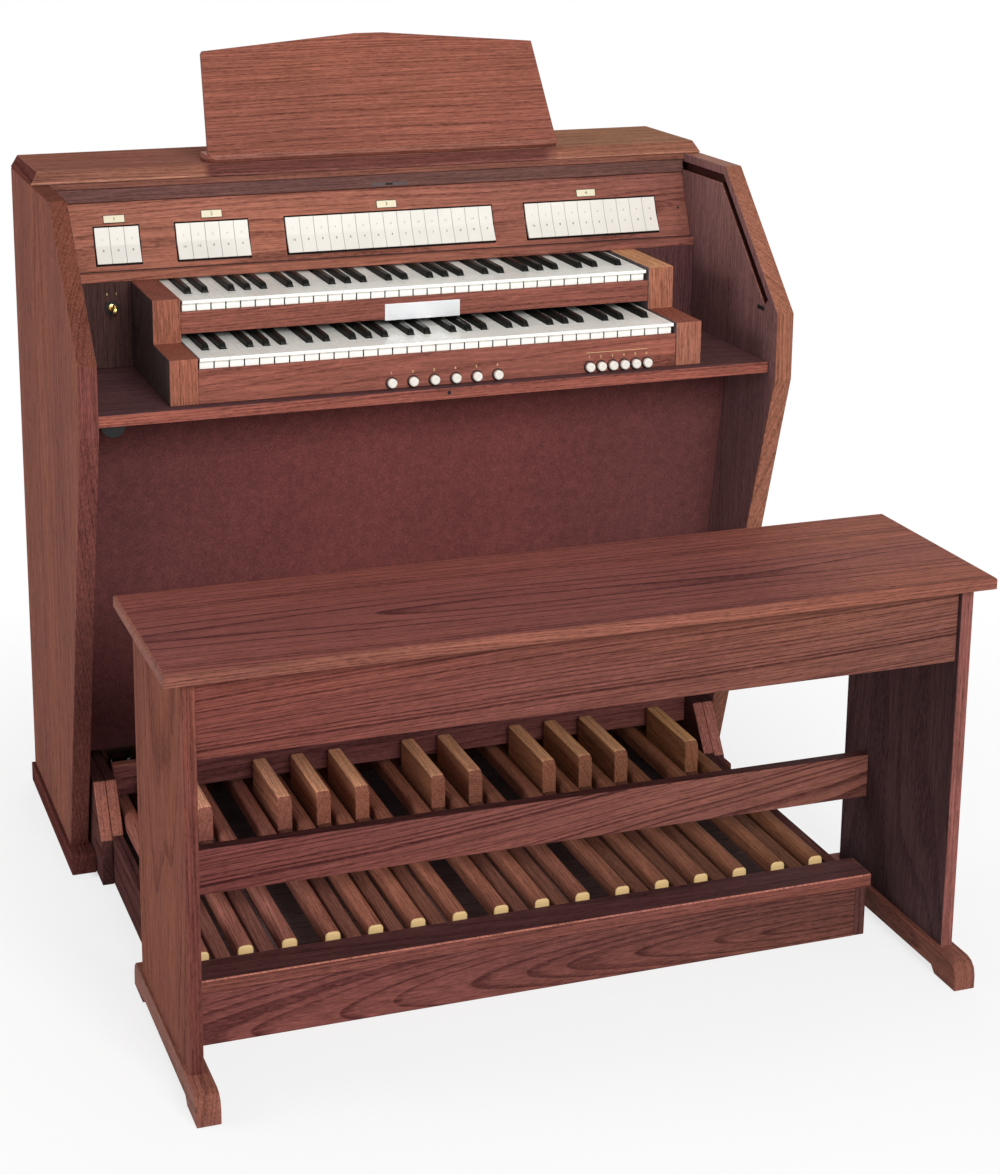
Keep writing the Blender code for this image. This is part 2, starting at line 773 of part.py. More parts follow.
def tab_group(name, count, centre):
    """One group of tabs on the shaft that they rock about."""
    outline = tab_outline()

    def make_tabs(work):
        for index in range(count):
            left = centre + (index - count / 2) * TAB_PITCH + TAB_SPACING / 2
            add_side_prism(work, outline, left, left + TAB_PITCH - TAB_SPACING)

    end = tab_group_half(count) + TAB_SLOT_SIDE_CLEARANCE + TAB_SHAFT_SEAT - GAP
    shaft_ends = (tab_shaft_point(centre - end), tab_shaft_point(centre + end))
    shaft = rods(name, [(*shaft_ends, TAB_SHAFT_RADIUS)])
    tabs = new_object(f"{name}_row", make_tabs)
    join(shaft, tabs)
    paint(tabs, "tab_white")
    return move_origin(paint(shaft, "tab_white"), tab_shaft_point(centre))


# Keys

def natural_name(index):
    return NATURAL_NAMES[index % len(NATURAL_NAMES)]


def natural_left(index):
    return MANUAL_CENTRE - MANUAL_HALF + index * KEY_PITCH


def sharp_centres():
    """Middle of each sharp, by the natural on its left."""
    centres = {}
    for index in range(NATURAL_COUNT - 1):
        shift = SHARP_SHIFTS.get(natural_name(index))
        if shift is not None:
            centres[index] = natural_left(index + 1) + shift
    return centres


def natural_plan(index, front):
    """A natural from above: its wide head, and its tail between the sharps."""
    centres = sharp_centres()
    notch = SHARP_WIDTH / 2 + SHARP_SIDE_CLEARANCE
    left = natural_left(index) + KEY_SPACING / 2
    right = natural_left(index + 1) - KEY_SPACING / 2
    tail_left = centres[index - 1] + notch if index - 1 in centres else left
    tail_right = centres[index] - notch if index in centres else right
    head_rear = front - NATURAL_HEAD_LENGTH
    rear = front - NATURAL_LENGTH
    points = [(left, front), (right, front)]
    if tail_right != right:
        points += [(right, head_rear), (tail_right, head_rear)]
    points += [(tail_right, rear), (tail_left, rear)]
    if tail_left != left:
        points += [(tail_left, head_rear), (left, head_rear)]
    return points


def natural_pivot(front, top):
    depth = front - NATURAL_LENGTH + KEY_BAR_DEPTH / 2
    height = top - NATURAL_THICKNESS - KEY_BAR_HEIGHT / 2 + GAP
    return depth, height


def sharp_rear(front):
    return front - NATURAL_LENGTH - SHARP_TAIL_EXTRA_LENGTH


def sharp_pivot(front, top):
    depth = sharp_rear(front) + SHARP_BAR_DEPTH / 2
    height = top - KEY_PIN_RADIUS - SHARP_BAR_HEIGHT / 2
    return depth, height


def key_pins(name, pivot):
    """The two pins at a key bar's ends."""
    depth, height = pivot
    inner = MANUAL_HALF - KEY_PIN_LENGTH
    outer = CHEEK_INSIDE + KEY_PIN_LENGTH
    items = []
    for side in (-1, 1):
        start = (MANUAL_CENTRE + side * inner, world_y(depth), height)
        end = (MANUAL_CENTRE + side * outer, world_y(depth), height)
        items.append((start, end, KEY_PIN_RADIUS))
    return rods(name, items)


def naturals(name, front, top):
    """All naturals of a manual on the bar at their rear ends."""
    bottom = top - NATURAL_THICKNESS
    pivot = natural_pivot(front, top)
    half_depth = KEY_BAR_DEPTH / 2
    half_height = KEY_BAR_HEIGHT / 2
    bar = box(
        name,
        (MANUAL_CENTRE - MANUAL_HALF, MANUAL_CENTRE + MANUAL_HALF),
        (pivot[0] - half_depth, pivot[0] + half_depth),
        (pivot[1] - half_height, pivot[1] + half_height + GAP),
    )

    def make_keys(work):
        for index in range(NATURAL_COUNT):
            plan = natural_plan(index, front)
            add_loft(work, [[(x, world_y(depth), z) for x, depth in plan] for z in (bottom, top)])

    # Under the lip the front of each head is cut back, and the rest of the head is thickened
    plate_front = front - NATURAL_LIP_OVERHANG
    heads = []
    head_depths = (front - NATURAL_HEAD_LENGTH, plate_front)
    for index in range(NATURAL_COUNT):
        xs = (natural_left(index) + KEY_SPACING / 2, natural_left(index + 1) - KEY_SPACING / 2)
        heads.append((xs, head_depths, (top - NATURAL_DROP, bottom + GAP)))
    lip_xs = (MANUAL_CENTRE - MANUAL_HALF - KEY_PITCH, MANUAL_CENTRE + MANUAL_HALF + KEY_PITCH)
    lip_heights = (bottom - NATURAL_DROP, top - NATURAL_LIP_THICKNESS)
    lip_cut = box(f"{name}_lip_cut", lip_xs, (plate_front, front + KEY_PITCH), lip_heights)
    keys = new_object(f"{name}_row", make_keys)
    join(bar, keys, boxes(f"{name}_heads", heads), key_pins(f"{name}_pins", pivot))
    cut(bar, lip_cut)
    paint(bar, "key_white")
    return move_origin(bar, (MANUAL_CENTRE, world_y(pivot[0]), pivot[1]))


def sharp_outline(front, top):
    """A sharp from the side: its raised block with a sloping front, and its low tail."""
    block_front = front - NATURAL_HEAD_LENGTH - SHARP_END_CLEARANCE
    block_rear = front - KEY_VISIBLE_LENGTH + SHARP_END_CLEARANCE
    crest = top + SHARP_HEIGHT
    floor = top - NATURAL_THICKNESS
    tail_top = top - KEY_PIN_RADIUS + GAP
    tail_bottom = tail_top - SHARP_TAIL_THICKNESS
    return [
        (sharp_rear(front), tail_bottom),
        (sharp_rear(front), tail_top),
        (block_rear, tail_top),
        (block_rear, crest),
        (block_front - SHARP_SLOPE, crest),
        (block_front, top),
        (block_front, floor),
        (block_rear, floor),
        (block_rear, tail_bottom),
    ]


def sharps(name, front, top):
    """All sharps of a manual on the bar at their rear ends."""
    pivot = sharp_pivot(front, top)
    half_depth = SHARP_BAR_DEPTH / 2
    half_height = SHARP_BAR_HEIGHT / 2
    bar = box(
        name,
        (MANUAL_CENTRE - MANUAL_HALF, MANUAL_CENTRE + MANUAL_HALF),
        (pivot[0] - half_depth - GAP, pivot[0] + half_depth),
        (pivot[1] - half_height, pivot[1] + half_height),
    )
    outline = sharp_outline(front, top)

    def make_keys(work):
        for centre in sharp_centres().values():
            add_side_prism(work, outline, centre - SHARP_WIDTH / 2, centre + SHARP_WIDTH / 2)

    join(bar, new_object(f"{name}_row", make_keys), key_pins(f"{name}_pins", pivot))
    paint(bar, "key_black")
    return move_origin(bar, (MANUAL_CENTRE, world_y(pivot[0]), pivot[1]))


# Wood round the manuals

UPPER_RAIL_FRONT = UPPER_KEY_FRONT - NATURAL_LIP_OVERHANG + RAIL_GAP + RAIL_THICKNESS
SLIP_FRONT = LOWER_KEY_FRONT - NATURAL_LIP_OVERHANG + RAIL_GAP + RAIL_THICKNESS


def key_cheek(name, side):
    """The stepped block beside the manuals, which carries the pins of their key bars."""
    rear = sharp_rear(UPPER_KEY_FRONT) - CHEEK_REAR_MARGIN
    top = LEDGE_BOTTOM - GAP
    step = LOWER_KEY_TOP + CHEEK_LOWER_RISE
    undercut = SHELF_TOP + CHEEK_UNDERCUT
    foot = SHELF_TOP + GAP
    foot_rear = SETBACK_FRONT + 2 * GAP
    upper_front = UPPER_RAIL_FRONT + SLIP_FRONT_MARGIN
    lower_front = SLIP_FRONT + SLIP_FRONT_MARGIN
    outline = [
        (rear, undercut),
        (rear, top),
        (upper_front, top),
        (upper_front, step),
        (lower_front, step),
        (lower_front, foot),
        (foot_rear, foot),
        (foot_rear, undercut),
    ]
    inner = MANUAL_CENTRE + side * CHEEK_INSIDE
    outer = MANUAL_CENTRE + side * CHEEK_OUTSIDE
    cheek = side_prism(name, outline, inner, outer)
    bores = []
    bore_end = inner + side * (KEY_PIN_LENGTH + GAP)
    for front, height in ((UPPER_KEY_FRONT, UPPER_KEY_TOP), (LOWER_KEY_FRONT, LOWER_KEY_TOP)):
        for pivot in (natural_pivot(front, height), sharp_pivot(front, height)):
            start = (inner - side * KEY_PIN_LENGTH, world_y(pivot[0]), pivot[1])
            end = (bore_end, world_y(pivot[0]), pivot[1])
            bores.append((start, end, KEY_PIN_RADIUS + GAP))
    cut(cheek, rods(f"{name}_bores", bores))
    return paint(cheek, "oak")


def between_cheeks():
    half = CHEEK_INSIDE - GAP
    return MANUAL_CENTRE - half, MANUAL_CENTRE + half


def middle_rail():
    """The rail under the upper manual's key fronts."""
    depths = (UPPER_RAIL_FRONT - RAIL_THICKNESS, UPPER_RAIL_FRONT)
    bottom = LOWER_KEY_TOP + SHARP_HEIGHT + RAIL_OVER_SHARPS
    top = UPPER_KEY_TOP - NATURAL_DROP + RAIL_GAP
    return paint(box("middle_rail", between_cheeks(), depths, (bottom, top)), "oak")


PISTON_AXIS_HEIGHT = SHELF_TOP + PISTON_HEIGHT


def piston_centres(count, pitch, centre):
    return [centre + (index - (count - 1) / 2) * pitch for index in range(count)]


def key_slip():
    """The slip under the lower manual's key fronts, bored for the pistons."""
    depths = (SLIP_FRONT - RAIL_THICKNESS, SLIP_FRONT)
    top = LOWER_KEY_TOP - NATURAL_DROP + RAIL_GAP
    slip = box("key_slip", between_cheeks(), depths, (SHELF_TOP + GAP, top))
    bores = []
    for count, pitch, centre in PISTON_GROUPS.values():
        for x in piston_centres(count, pitch, centre):
            start = (x, world_y(SLIP_FRONT - 2 * RAIL_THICKNESS), PISTON_AXIS_HEIGHT)
            end = (x, world_y(SLIP_FRONT + RAIL_THICKNESS), PISTON_AXIS_HEIGHT)
            bores.append((start, end, PISTON_STEM_RADIUS + GAP))
    cut(slip, rods("piston_bores", bores, PISTON_SIDES))
    return paint(slip, "oak")


def piston_group(name, count, pitch, centre):
    """One row of pistons on the bar behind the key slip that pushes their switches."""
    bar_front = SLIP_FRONT - RAIL_THICKNESS - PISTON_BAR_BEHIND
    half = (count - 1) * pitch / 2 + PISTON_HEAD_RADIUS
    bar = box(
        name,
        (centre - half, centre + half),
        (bar_front - PISTON_BAR_THICKNESS, bar_front),
        (PISTON_AXIS_HEIGHT - PISTON_BAR_HEIGHT / 2, PISTON_AXIS_HEIGHT + PISTON_BAR_HEIGHT / 2),
    )
    head_rear = SLIP_FRONT + PISTON_TRAVEL + 2 * GAP
    stems = []
    heads = []
    for x in piston_centres(count, pitch, centre):
        start = (x, world_y(bar_front - PISTON_BAR_THICKNESS / 2), PISTON_AXIS_HEIGHT)
        seat = (x, world_y(head_rear + PISTON_HEAD_LENGTH / 2), PISTON_AXIS_HEIGHT)
        stems.append((start, seat, PISTON_STEM_RADIUS))
        rear = (x, world_y(head_rear), PISTON_AXIS_HEIGHT)
        face = (x, world_y(head_rear + PISTON_HEAD_LENGTH), PISTON_AXIS_HEIGHT)
        heads.append((rear, face, PISTON_HEAD_RADIUS))
    stem_row = rods(f"{name}_stems", stems, PISTON_SIDES)
    head_row = rods(f"{name}_heads", heads, PISTON_SIDES)
    join(bar, stem_row, head_row)
    paint(bar, "tab_white")
    return move_origin(bar, (centre, world_y(SLIP_FRONT), PISTON_AXIS_HEIGHT))


SWITCH_X = -INSIDE_HALF + SWITCH_FROM_PANEL
SWITCH_HEIGHT = SHELF_TOP + SWITCH_ABOVE_SHELF


def setback_board():
    """The board behind both key cheeks, notched for the manuals and bored for the switch."""
    half = INSIDE_HALF - GAP
    depths = (SETBACK_FRONT - SETBACK_THICKNESS, SETBACK_FRONT)
    board = box("setback_board", (-half, half), depths, (SHELF_TOP + GAP, LEDGE_BOTTOM - GAP))
    notch_half = CHEEK_OUTSIDE + GAP
    notch = box(
        "manual_notch",
        (MANUAL_CENTRE - notch_half, MANUAL_CENTRE + notch_half),
        (depths[0] - SETBACK_THICKNESS, depths[1] + SETBACK_THICKNESS),
        (SHELF_TOP + SETBACK_RAIL_HEIGHT, LEDGE_TOP),
    )
    start = (SWITCH_X, world_y(depths[0] - SETBACK_THICKNESS), SWITCH_HEIGHT)
    end = (SWITCH_X, world_y(depths[1] + SETBACK_THICKNESS), SWITCH_HEIGHT)
    bore = rods("switch_bore", [(start, end, SWITCH_BARREL_RADIUS + GAP)], ROUND_SIDES)
    cut(board, notch, bore)
    return paint(board, "oak")


def power_key():
    """The key in its turning lock barrel, upright when off."""
    rear = SETBACK_FRONT - SETBACK_THICKNESS
    face = SETBACK_FRONT + SWITCH_BARREL_PROUD
    barrel_ends = [(SWITCH_X, world_y(depth), SWITCH_HEIGHT) for depth in (rear, face)]
    barrel = rods("power_key", [(*barrel_ends, SWITCH_BARREL_RADIUS)], ROUND_SIDES)
    bow_centre = face + SWITCH_KEY_NECK + SWITCH_BOW_RADIUS
    half = SWITCH_BOW_THICKNESS / 2
    round_outline = circle(SWITCH_BOW_RADIUS, ROUND_SIDES)
    outline = [(bow_centre + one, SWITCH_HEIGHT + two) for one, two in round_outline]
    bow = side_prism("power_key_bow", outline, SWITCH_X - half, SWITCH_X + half)
    neck_half = SWITCH_NECK_HEIGHT / 2
    neck = box(
        "power_key_neck",
        (SWITCH_X - half + GAP, SWITCH_X + half - GAP),
        (face - SWITCH_BARREL_PROUD, bow_centre),
        (SWITCH_HEIGHT - neck_half, SWITCH_HEIGHT + neck_half),
    )
    join(barrel, bow, neck)
    paint(barrel, "brass")
    return move_origin(barrel, (SWITCH_X, world_y(SETBACK_FRONT), SWITCH_HEIGHT))


def shelf():
    half = INSIDE_HALF - GAP
    depths = (INSIDE_FRONT_OF_BACK, SHELF_FRONT)
    return paint(box("shelf", (-half, half), depths, (SHELF_BOTTOM, SHELF_TOP)), "oak")


# Music desk

def on_desk(outward, up):
    """A point at a distance out of the desk's front and up along it from its foot."""
    foot_depth = LID_FRONT - LID_FRONT_BEVEL - GAP
    foot_height = LID_TOP + DESK_LEDGE_HEIGHT / 2
    depth = foot_depth + outward * math.cos(DESK_LEAN) - up * math.sin(DESK_LEAN)
    height = foot_height + outward * math.sin(DESK_LEAN) + up * math.cos(DESK_LEAN)
    return depth, height


def desk_front_outline():
    """The desk from the front: it narrows upwards to a low flat peak."""
    peak = DESK_PEAK_WIDTH / 2
    return [
        (-DESK_BOTTOM_WIDTH / 2, 0),
        (DESK_BOTTOM_WIDTH / 2, 0),
        (DESK_TOP_WIDTH / 2, DESK_CORNER_LENGTH),
        (peak, DESK_PEAK_LENGTH),
        (-peak, DESK_PEAK_LENGTH),
        (-DESK_TOP_WIDTH / 2, DESK_CORNER_LENGTH),
    ]


def desk_ledge_plan():
    """The desk's ledge from above, with rounded front corners."""
    half = DESK_LEDGE_WIDTH / 2
    front = LID_FRONT - LID_FRONT_BEVEL
    corner = DESK_LEDGE_CORNER
    right = arc((half - corner, front - corner), corner, 0, 90, PEDAL_ARC_STEPS)
    left = arc((-half + corner, front - corner), corner, 90, 180, PEDAL_ARC_STEPS)
    rear = front - DESK_LEDGE_DEPTH
    return [(half, rear), *right, *left, (-half, rear)]


def music_desk():
    """The leaning desk on its ledge, held from behind by two wedges on the lid."""
    def make_board(work):
        rings = []
        for outward in (-DESK_THICKNESS, 0):
            ring = []
            for x, up in desk_front_outline():
                depth, height = on_desk(outward, up)
                ring.append((DESK_CENTRE + x, world_y(depth), height))
            rings.append(ring)
        add_loft(work, rings)

    def make_ledge(work):
        low = LID_TOP + GAP
        rings = []
        for height in (low, low + DESK_LEDGE_HEIGHT):
            plan = desk_ledge_plan()
            rings.append([(DESK_CENTRE + x, world_y(depth), height) for x, depth in plan])
        add_loft(work, rings)

    desk = new_object("music_desk", make_board)
    ledge = new_object("music_desk_ledge", make_ledge)
    wedge_foot = LID_TOP + GAP
    inside_board = on_desk(-DESK_THICKNESS / 2, DESK_WEDGE_HEIGHT)
    wedge_front = on_desk(-DESK_THICKNESS / 2, 0)[0]
    outline = [(wedge_front, wedge_foot), (wedge_front - DESK_WEDGE_DEPTH, wedge_foot), inside_board]

    def make_wedges(work):
        for side in (-1, 1):
            middle = DESK_CENTRE + side * DESK_WEDGE_SPACING / 2
            half = DESK_WEDGE_THICKNESS / 2
            add_side_prism(work, outline, middle - half, middle + half)

    join(desk, ledge, new_object("music_desk_wedges", make_wedges))
    return paint(desk, "oak")


# Kick panel, loudspeaker and amplifier

KICK_TOP = SHELF_BOTTOM - GAP
KICK_LEAN = math.atan2(KICK_TOP_DEPTH - KICK_BOTTOM_DEPTH, KICK_TOP - KICK_BOTTOM)


def on_kick_panel(outward, up):
    """A point at a distance out of the kick panel's front and up along it from its foot."""
    depth = KICK_BOTTOM_DEPTH + outward * math.cos(KICK_LEAN) + up * math.sin(KICK_LEAN)
    height = KICK_BOTTOM - outward * math.sin(KICK_LEAN) + up * math.cos(KICK_LEAN)
    return depth, height


def kick_panel():
    """The board behind the loudspeaker cloth, with sound slots before the loudspeaker."""
    half = INSIDE_HALF - GAP
    wall = KICK_THICKNESS / math.cos(KICK_LEAN)
    outline = [
        (KICK_BOTTOM_DEPTH, KICK_BOTTOM),
        (KICK_TOP_DEPTH, KICK_TOP),
        (KICK_TOP_DEPTH - wall, KICK_TOP),
        (KICK_BOTTOM_DEPTH - wall, KICK_BOTTOM),
    ]
    panel = side_prism("kick_panel", outline, -half, half)
    low = SPEAKER_ALONG_PANEL - SPEAKER_SLOT_LENGTH / 2
    high = SPEAKER_ALONG_PANEL + SPEAKER_SLOT_LENGTH / 2
    corners = [
        (-2 * KICK_THICKNESS, low),
        (KICK_THICKNESS, low),
        (KICK_THICKNESS, high),
        (-2 * KICK_THICKNESS, high),
    ]
    slot_outline = [on_kick_panel(*corner) for corner in corners]

    def make_slots(work):
        for index in range(SPEAKER_SLOTS):
            middle = SPEAKER_OFFSET + (index - (SPEAKER_SLOTS - 1) / 2) * SPEAKER_SLOT_PITCH
            half_slot = SPEAKER_SLOT_WIDTH / 2
            add_side_prism(work, slot_outline, middle - half_slot, middle + half_slot)

    cut(panel, new_object("sound_slots", make_slots))
    return paint(panel, "cloth_board")


def loudspeaker():
    """The loudspeaker on the kick panel's back: flange, basket and magnet."""
    flange_back = -KICK_THICKNESS - GAP - SPEAKER_FLANGE
    basket_back = flange_back - SPEAKER_BASKET_DEPTH
    magnet_back = basket_back - SPEAKER_MAGNET_DEPTH
    levels = [
        (SPEAKER_RADIUS, -KICK_THICKNESS - GAP),
        (SPEAKER_RADIUS, flange_back),
        (SPEAKER_BASKET_RADIUS, flange_back),
        (SPEAKER_MAGNET_RADIUS, basket_back),
        (SPEAKER_MAGNET_RADIUS, magnet_back),
    ]

    def make(work):
        rings = []
        for radius, outward in levels:
            ring = []
            for one, two in circle(radius, ROUND_SIDES):
                depth, height = on_kick_panel(outward, SPEAKER_ALONG_PANEL + two)
                ring.append((SPEAKER_OFFSET + one, world_y(depth), height))
            rings.append(ring)
        add_loft(work, rings)

    return paint(new_object("loudspeaker", make), "black_metal")


def amplifier():
    """The electronics box on the back panel, with cooling fins on its front."""
    left = AMPLIFIER_OFFSET - AMPLIFIER_WIDTH / 2
    front = INSIDE_FRONT_OF_BACK + AMPLIFIER_DEPTH
    chassis = box(
        "electronics_chassis",
        (left, left + AMPLIFIER_WIDTH),
        (INSIDE_FRONT_OF_BACK, front),
        (AMPLIFIER_BOTTOM, AMPLIFIER_BOTTOM + AMPLIFIER_HEIGHT),
    )
    fins = []
    for index in range(FIN_COUNT):
        middle = AMPLIFIER_OFFSET + (index - (FIN_COUNT - 1) / 2) * FIN_PITCH
        xs = (middle - FIN_THICKNESS / 2, middle + FIN_THICKNESS / 2)
        low = AMPLIFIER_BOTTOM + FIN_END_MARGIN
        high = AMPLIFIER_BOTTOM + AMPLIFIER_HEIGHT - FIN_END_MARGIN
        fins.append((xs, (front - FIN_THICKNESS, front + FIN_DEPTH), (low, high)))
    join(chassis, boxes("cooling_fins", fins))
    return paint(chassis, "grey_metal")


# Pedalboard

def bar_section(half_width, bottom, top):
    """A pedal bar's section across its length: square below, rounded above."""
    radius = PEDAL_ROUNDING
    right = arc((half_width - radius, top - radius), radius, 0, 90, PEDAL_ARC_STEPS)
    left = arc((-half_width + radius, top - radius), radius, 90, 180, PEDAL_ARC_STEPS)
    return [(-half_width, bottom), (half_width, bottom), *right, *left]


def add_bar(work, x, half_width, depths, bottom_of, top_of):
    rings = []
    for depth in depths:
        section = bar_section(half_width, bottom_of(depth), top_of(depth))
        rings.append([(x + one, world_y(depth), two) for one, two in section])
    add_loft(work, rings)


def natural_pedal(name, x):
    def make(work):
        add_bar(work, x, PEDAL_WIDTH / 2, (PEDAL_REAR, PEDAL_FRONT), pedal_bottom, pedal_top)
    return new_object(name, make)


def low_bar_top(depth):
    return pedal_bottom(depth) + PEDAL_LOW_HEIGHT


def sharp_pedal(name, x):
    """A sharp pedal: a low bar with a tall playing block near the toe board."""
    def make_bar(work):
        add_bar(work, x, PEDAL_WIDTH / 2, (PEDAL_REAR, PEDAL_FRONT), pedal_bottom, low_bar_top)

    block_rear = TOE_BOARD_FRONT + TOE_BOARD_TO_BLOCK
    nose = SHARP_BLOCK_NOSE
    nose_centre = (block_rear + SHARP_BLOCK_LENGTH - nose, SHARP_BLOCK_HEIGHT - nose)

    def make_block(work):
        rings = []
        base = pedal_bottom(block_rear) + PEDAL_LOW_HEIGHT / 2
        nose_arc = arc(nose_centre, nose, 90, 0, PEDAL_ARC_STEPS)
        for depth, top in [(block_rear, SHARP_BLOCK_HEIGHT), *nose_arc]:
            section = bar_section(SHARP_BLOCK_WIDTH / 2, base, top)
            rings.append([(x + one, world_y(depth), two) for one, two in section])
        add_loft(work, rings)

    bar = new_object(name, make_bar)
    return join(bar, new_object(f"{name}_block", make_block))


def pedals():
    """The 27 pedals from low C to high D, hinged at their rear ends."""
    pivot_height = pedal_bottom(PEDAL_PIVOT)
    number = 1
    for index in range(NATURAL_PEDALS):
        x = FIRST_PEDAL + index * PEDAL_PITCH
        note = natural_name(index)
        spots = [(x, natural_pedal)]
        if note in SHARP_SHIFTS and index < NATURAL_PEDALS - 1:
            spots.append((x + PEDAL_PITCH / 2, sharp_pedal))
        for middle, maker in spots:
            pedal = paint(maker(f"pedal_{number:02d}", middle), "pedal_oak")
            move_origin(pedal, (middle, world_y(PEDAL_PIVOT), pivot_height))
            number += 1


def frame_cheek_outline(bottom):
    return [
        (FRAME_CHEEK_REAR, bottom),
        (FRAME_CHEEK_REAR, FRAME_CHEEK_TOP),
        (FRAME_CHEEK_FRONT_TOP, FRAME_CHEEK_TOP),
        (FRAME_CHEEK_FRONT, FRAME_CHEEK_RAKE_BOTTOM),
        (FRAME_CHEEK_FRONT, bottom),
    ]


def pedal_frame():
    """The pedals' frame: sides, front rail with its cap, rear rail, base, toe board, cheeks."""
    inside = FRAME_INSIDE / 2
    rail_top = pedal_bottom(PEDAL_REAR) - GAP
    rail = box("pedal_frame", (-FRAME_HALF, FRAME_HALF), (PEDAL_REAR, PEDAL_PIVOT), (0, rail_top))
    sides = []
    for side in (-1, 1):
        xs = sorted((side * inside, side * FRAME_HALF))
        side_depths = (PEDAL_REAR + GAP, FRAME_FRONT - FRAME_BOARD / 2)
        sides.append((xs, side_depths, (0, FRAME_SIDE_HEIGHT)))
    front_rear = FRAME_FRONT - FRAME_BOARD
    cap_bottom = FRAME_CAP_TOP - FRAME_CAP_THICKNESS
    front_depths = (front_rear, FRAME_FRONT)
    front = box("frame_front", (-FRAME_HALF, FRAME_HALF), front_depths, (0, cap_bottom + GAP))
    cap_half = FRAME_HALF + FRAME_CAP_OVERHANG
    cap_depths = (FRAME_CAP_REAR, FRAME_FRONT + GAP)
    cap = box("frame_cap", (-cap_half, cap_half), cap_depths, (cap_bottom, FRAME_CAP_TOP))
    ledge_top = pedal_bottom(PEDAL_FRONT) - PEDAL_TRAVEL - 2 * GAP
    ledge_depths = (front_rear - STOP_LEDGE_DEPTH, front_rear + GAP)
    ledge_xs = (-inside - GAP, inside + GAP)
    ledge = box("stop_ledge", ledge_xs, ledge_depths, (ledge_top - STOP_LEDGE_THICKNESS, ledge_top))
    base_depths = (PEDAL_PIVOT - GAP, front_rear + GAP)
    base_heights = (FRAME_BASE_HEIGHT, FRAME_BASE_HEIGHT + FRAME_BASE_THICKNESS)
    base = box("frame_base", ledge_xs, base_depths, base_heights)
    outer_cheeks = []
    inner_cheeks = []
    for side in (-1, 1):
        outer = (side * (FRAME_HALF - GAP), side * (FRAME_HALF + FRAME_CHEEK))
        inner = (side * (FRAME_HALF - GAP), side * (FRAME_HALF - FRAME_CHEEK))
        outer_cheeks.append(sorted(outer))
        inner_cheeks.append(sorted(inner))

    def make_outer(work):
        for xs in outer_cheeks:
            add_side_prism(work, frame_cheek_outline(0), *xs)

    def make_inner(work):
        bottom = FRAME_SIDE_HEIGHT - GAP
        outline = frame_cheek_outline(bottom)
        run = (FRAME_CHEEK_TOP - bottom) / (FRAME_CHEEK_TOP - FRAME_CHEEK_RAKE_BOTTOM)
        reach = FRAME_CHEEK_FRONT_TOP + run * (FRAME_CHEEK_FRONT - FRAME_CHEEK_FRONT_TOP)
        outline = [*outline[:3], (reach, bottom)]
        for xs in inner_cheeks:
            add_side_prism(work, outline, *xs)

    toe_half = FRAME_HALF - FRAME_CHEEK + GAP
    toe_depths = (TOE_BOARD_FRONT - FRAME_BOARD, TOE_BOARD_FRONT)
    toe_bottom = pedal_top(TOE_BOARD_FRONT) + TOE_BOARD_CLEARANCE
    toe = box("toe_board", (-toe_half, toe_half), toe_depths, (toe_bottom, TOE_BOARD_TOP))
    join(rail, boxes("frame_sides", sides), front, cap, ledge, base)
    join(rail, new_object("outer_cheeks", make_outer), new_object("inner_cheeks", make_inner), toe)
    return paint(rail, "oak")


# Bench

BENCH_LEG_TOP = BENCH_TOP - BENCH_TOP_THICKNESS - GAP


def runner_outline():
    """A bench foot from the side: rounded toes, relieved between its two pads."""
    rear = BENCH_RUNNER_REAR
    front = BENCH_RUNNER_FRONT
    nose = BENCH_RUNNER_NOSE
    height = BENCH_RUNNER_HEIGHT
    relief = BENCH_RUNNER_RELIEF
    front_toe = arc((front - nose, height - nose), nose, 0, 90, PEDAL_ARC_STEPS)
    rear_toe = arc((rear + nose, height - nose), nose, 90, 180, PEDAL_ARC_STEPS)
    return [
        (rear, 0),
        (rear + BENCH_RUNNER_PAD, 0),
        (rear + BENCH_RUNNER_PAD + relief, relief),
        (front - BENCH_RUNNER_PAD - relief, relief),
        (front - BENCH_RUNNER_PAD, 0),
        (front, 0),
        *front_toe,
        *rear_toe,
    ]


def bench_side(name, side):
    """A bench leg board standing on its foot."""
    inner = BENCH_SHIFT + side * BENCH_LEG_INSIDE
    outer = BENCH_SHIFT + side * BENCH_LEG_OUTSIDE
    depths = (BENCH_LEG_REAR, BENCH_LEG_REAR + BENCH_LEG_DEPTH)
    heights = (BENCH_RUNNER_HEIGHT - GAP, BENCH_LEG_TOP)
    leg = box(name, sorted((inner, outer)), depths, heights)
    foot_outer = outer + side * BENCH_RUNNER_LIP
    foot_inner = foot_outer - side * BENCH_RUNNER_WIDTH
    foot = side_prism(f"{name}_foot", runner_outline(), foot_inner, foot_outer)
    return paint(join(leg, foot), "oak")


def bench_between():
    half = BENCH_LEG_INSIDE - GAP
    return BENCH_SHIFT - half, BENCH_SHIFT + half


def bench_top():
    """The bench's seat board with its edges eased."""
    half = BENCH_LEG_OUTSIDE + BENCH_TOP_OVERHANG
    rear = BENCH_TOP_REAR
    front = BENCH_TOP_REAR + BENCH_TOP_DEPTH
    edge = BENCH_TOP_EDGE

    def ring(inset, height):
        left = BENCH_SHIFT - half + inset
        right = BENCH_SHIFT + half - inset
        back_y = world_y(rear + inset)
        front_y = world_y(front - inset)
        corners = [(left, back_y), (left, front_y), (right, front_y), (right, back_y)]
        return [(x, y, height) for x, y in corners]

    rings = [
        ring(0, BENCH_TOP - BENCH_TOP_THICKNESS),
        ring(0, BENCH_TOP - edge),
        ring(edge, BENCH_TOP),
    ]
    return paint(new_object("bench_top", lambda work: add_loft(work, rings)), "oak")


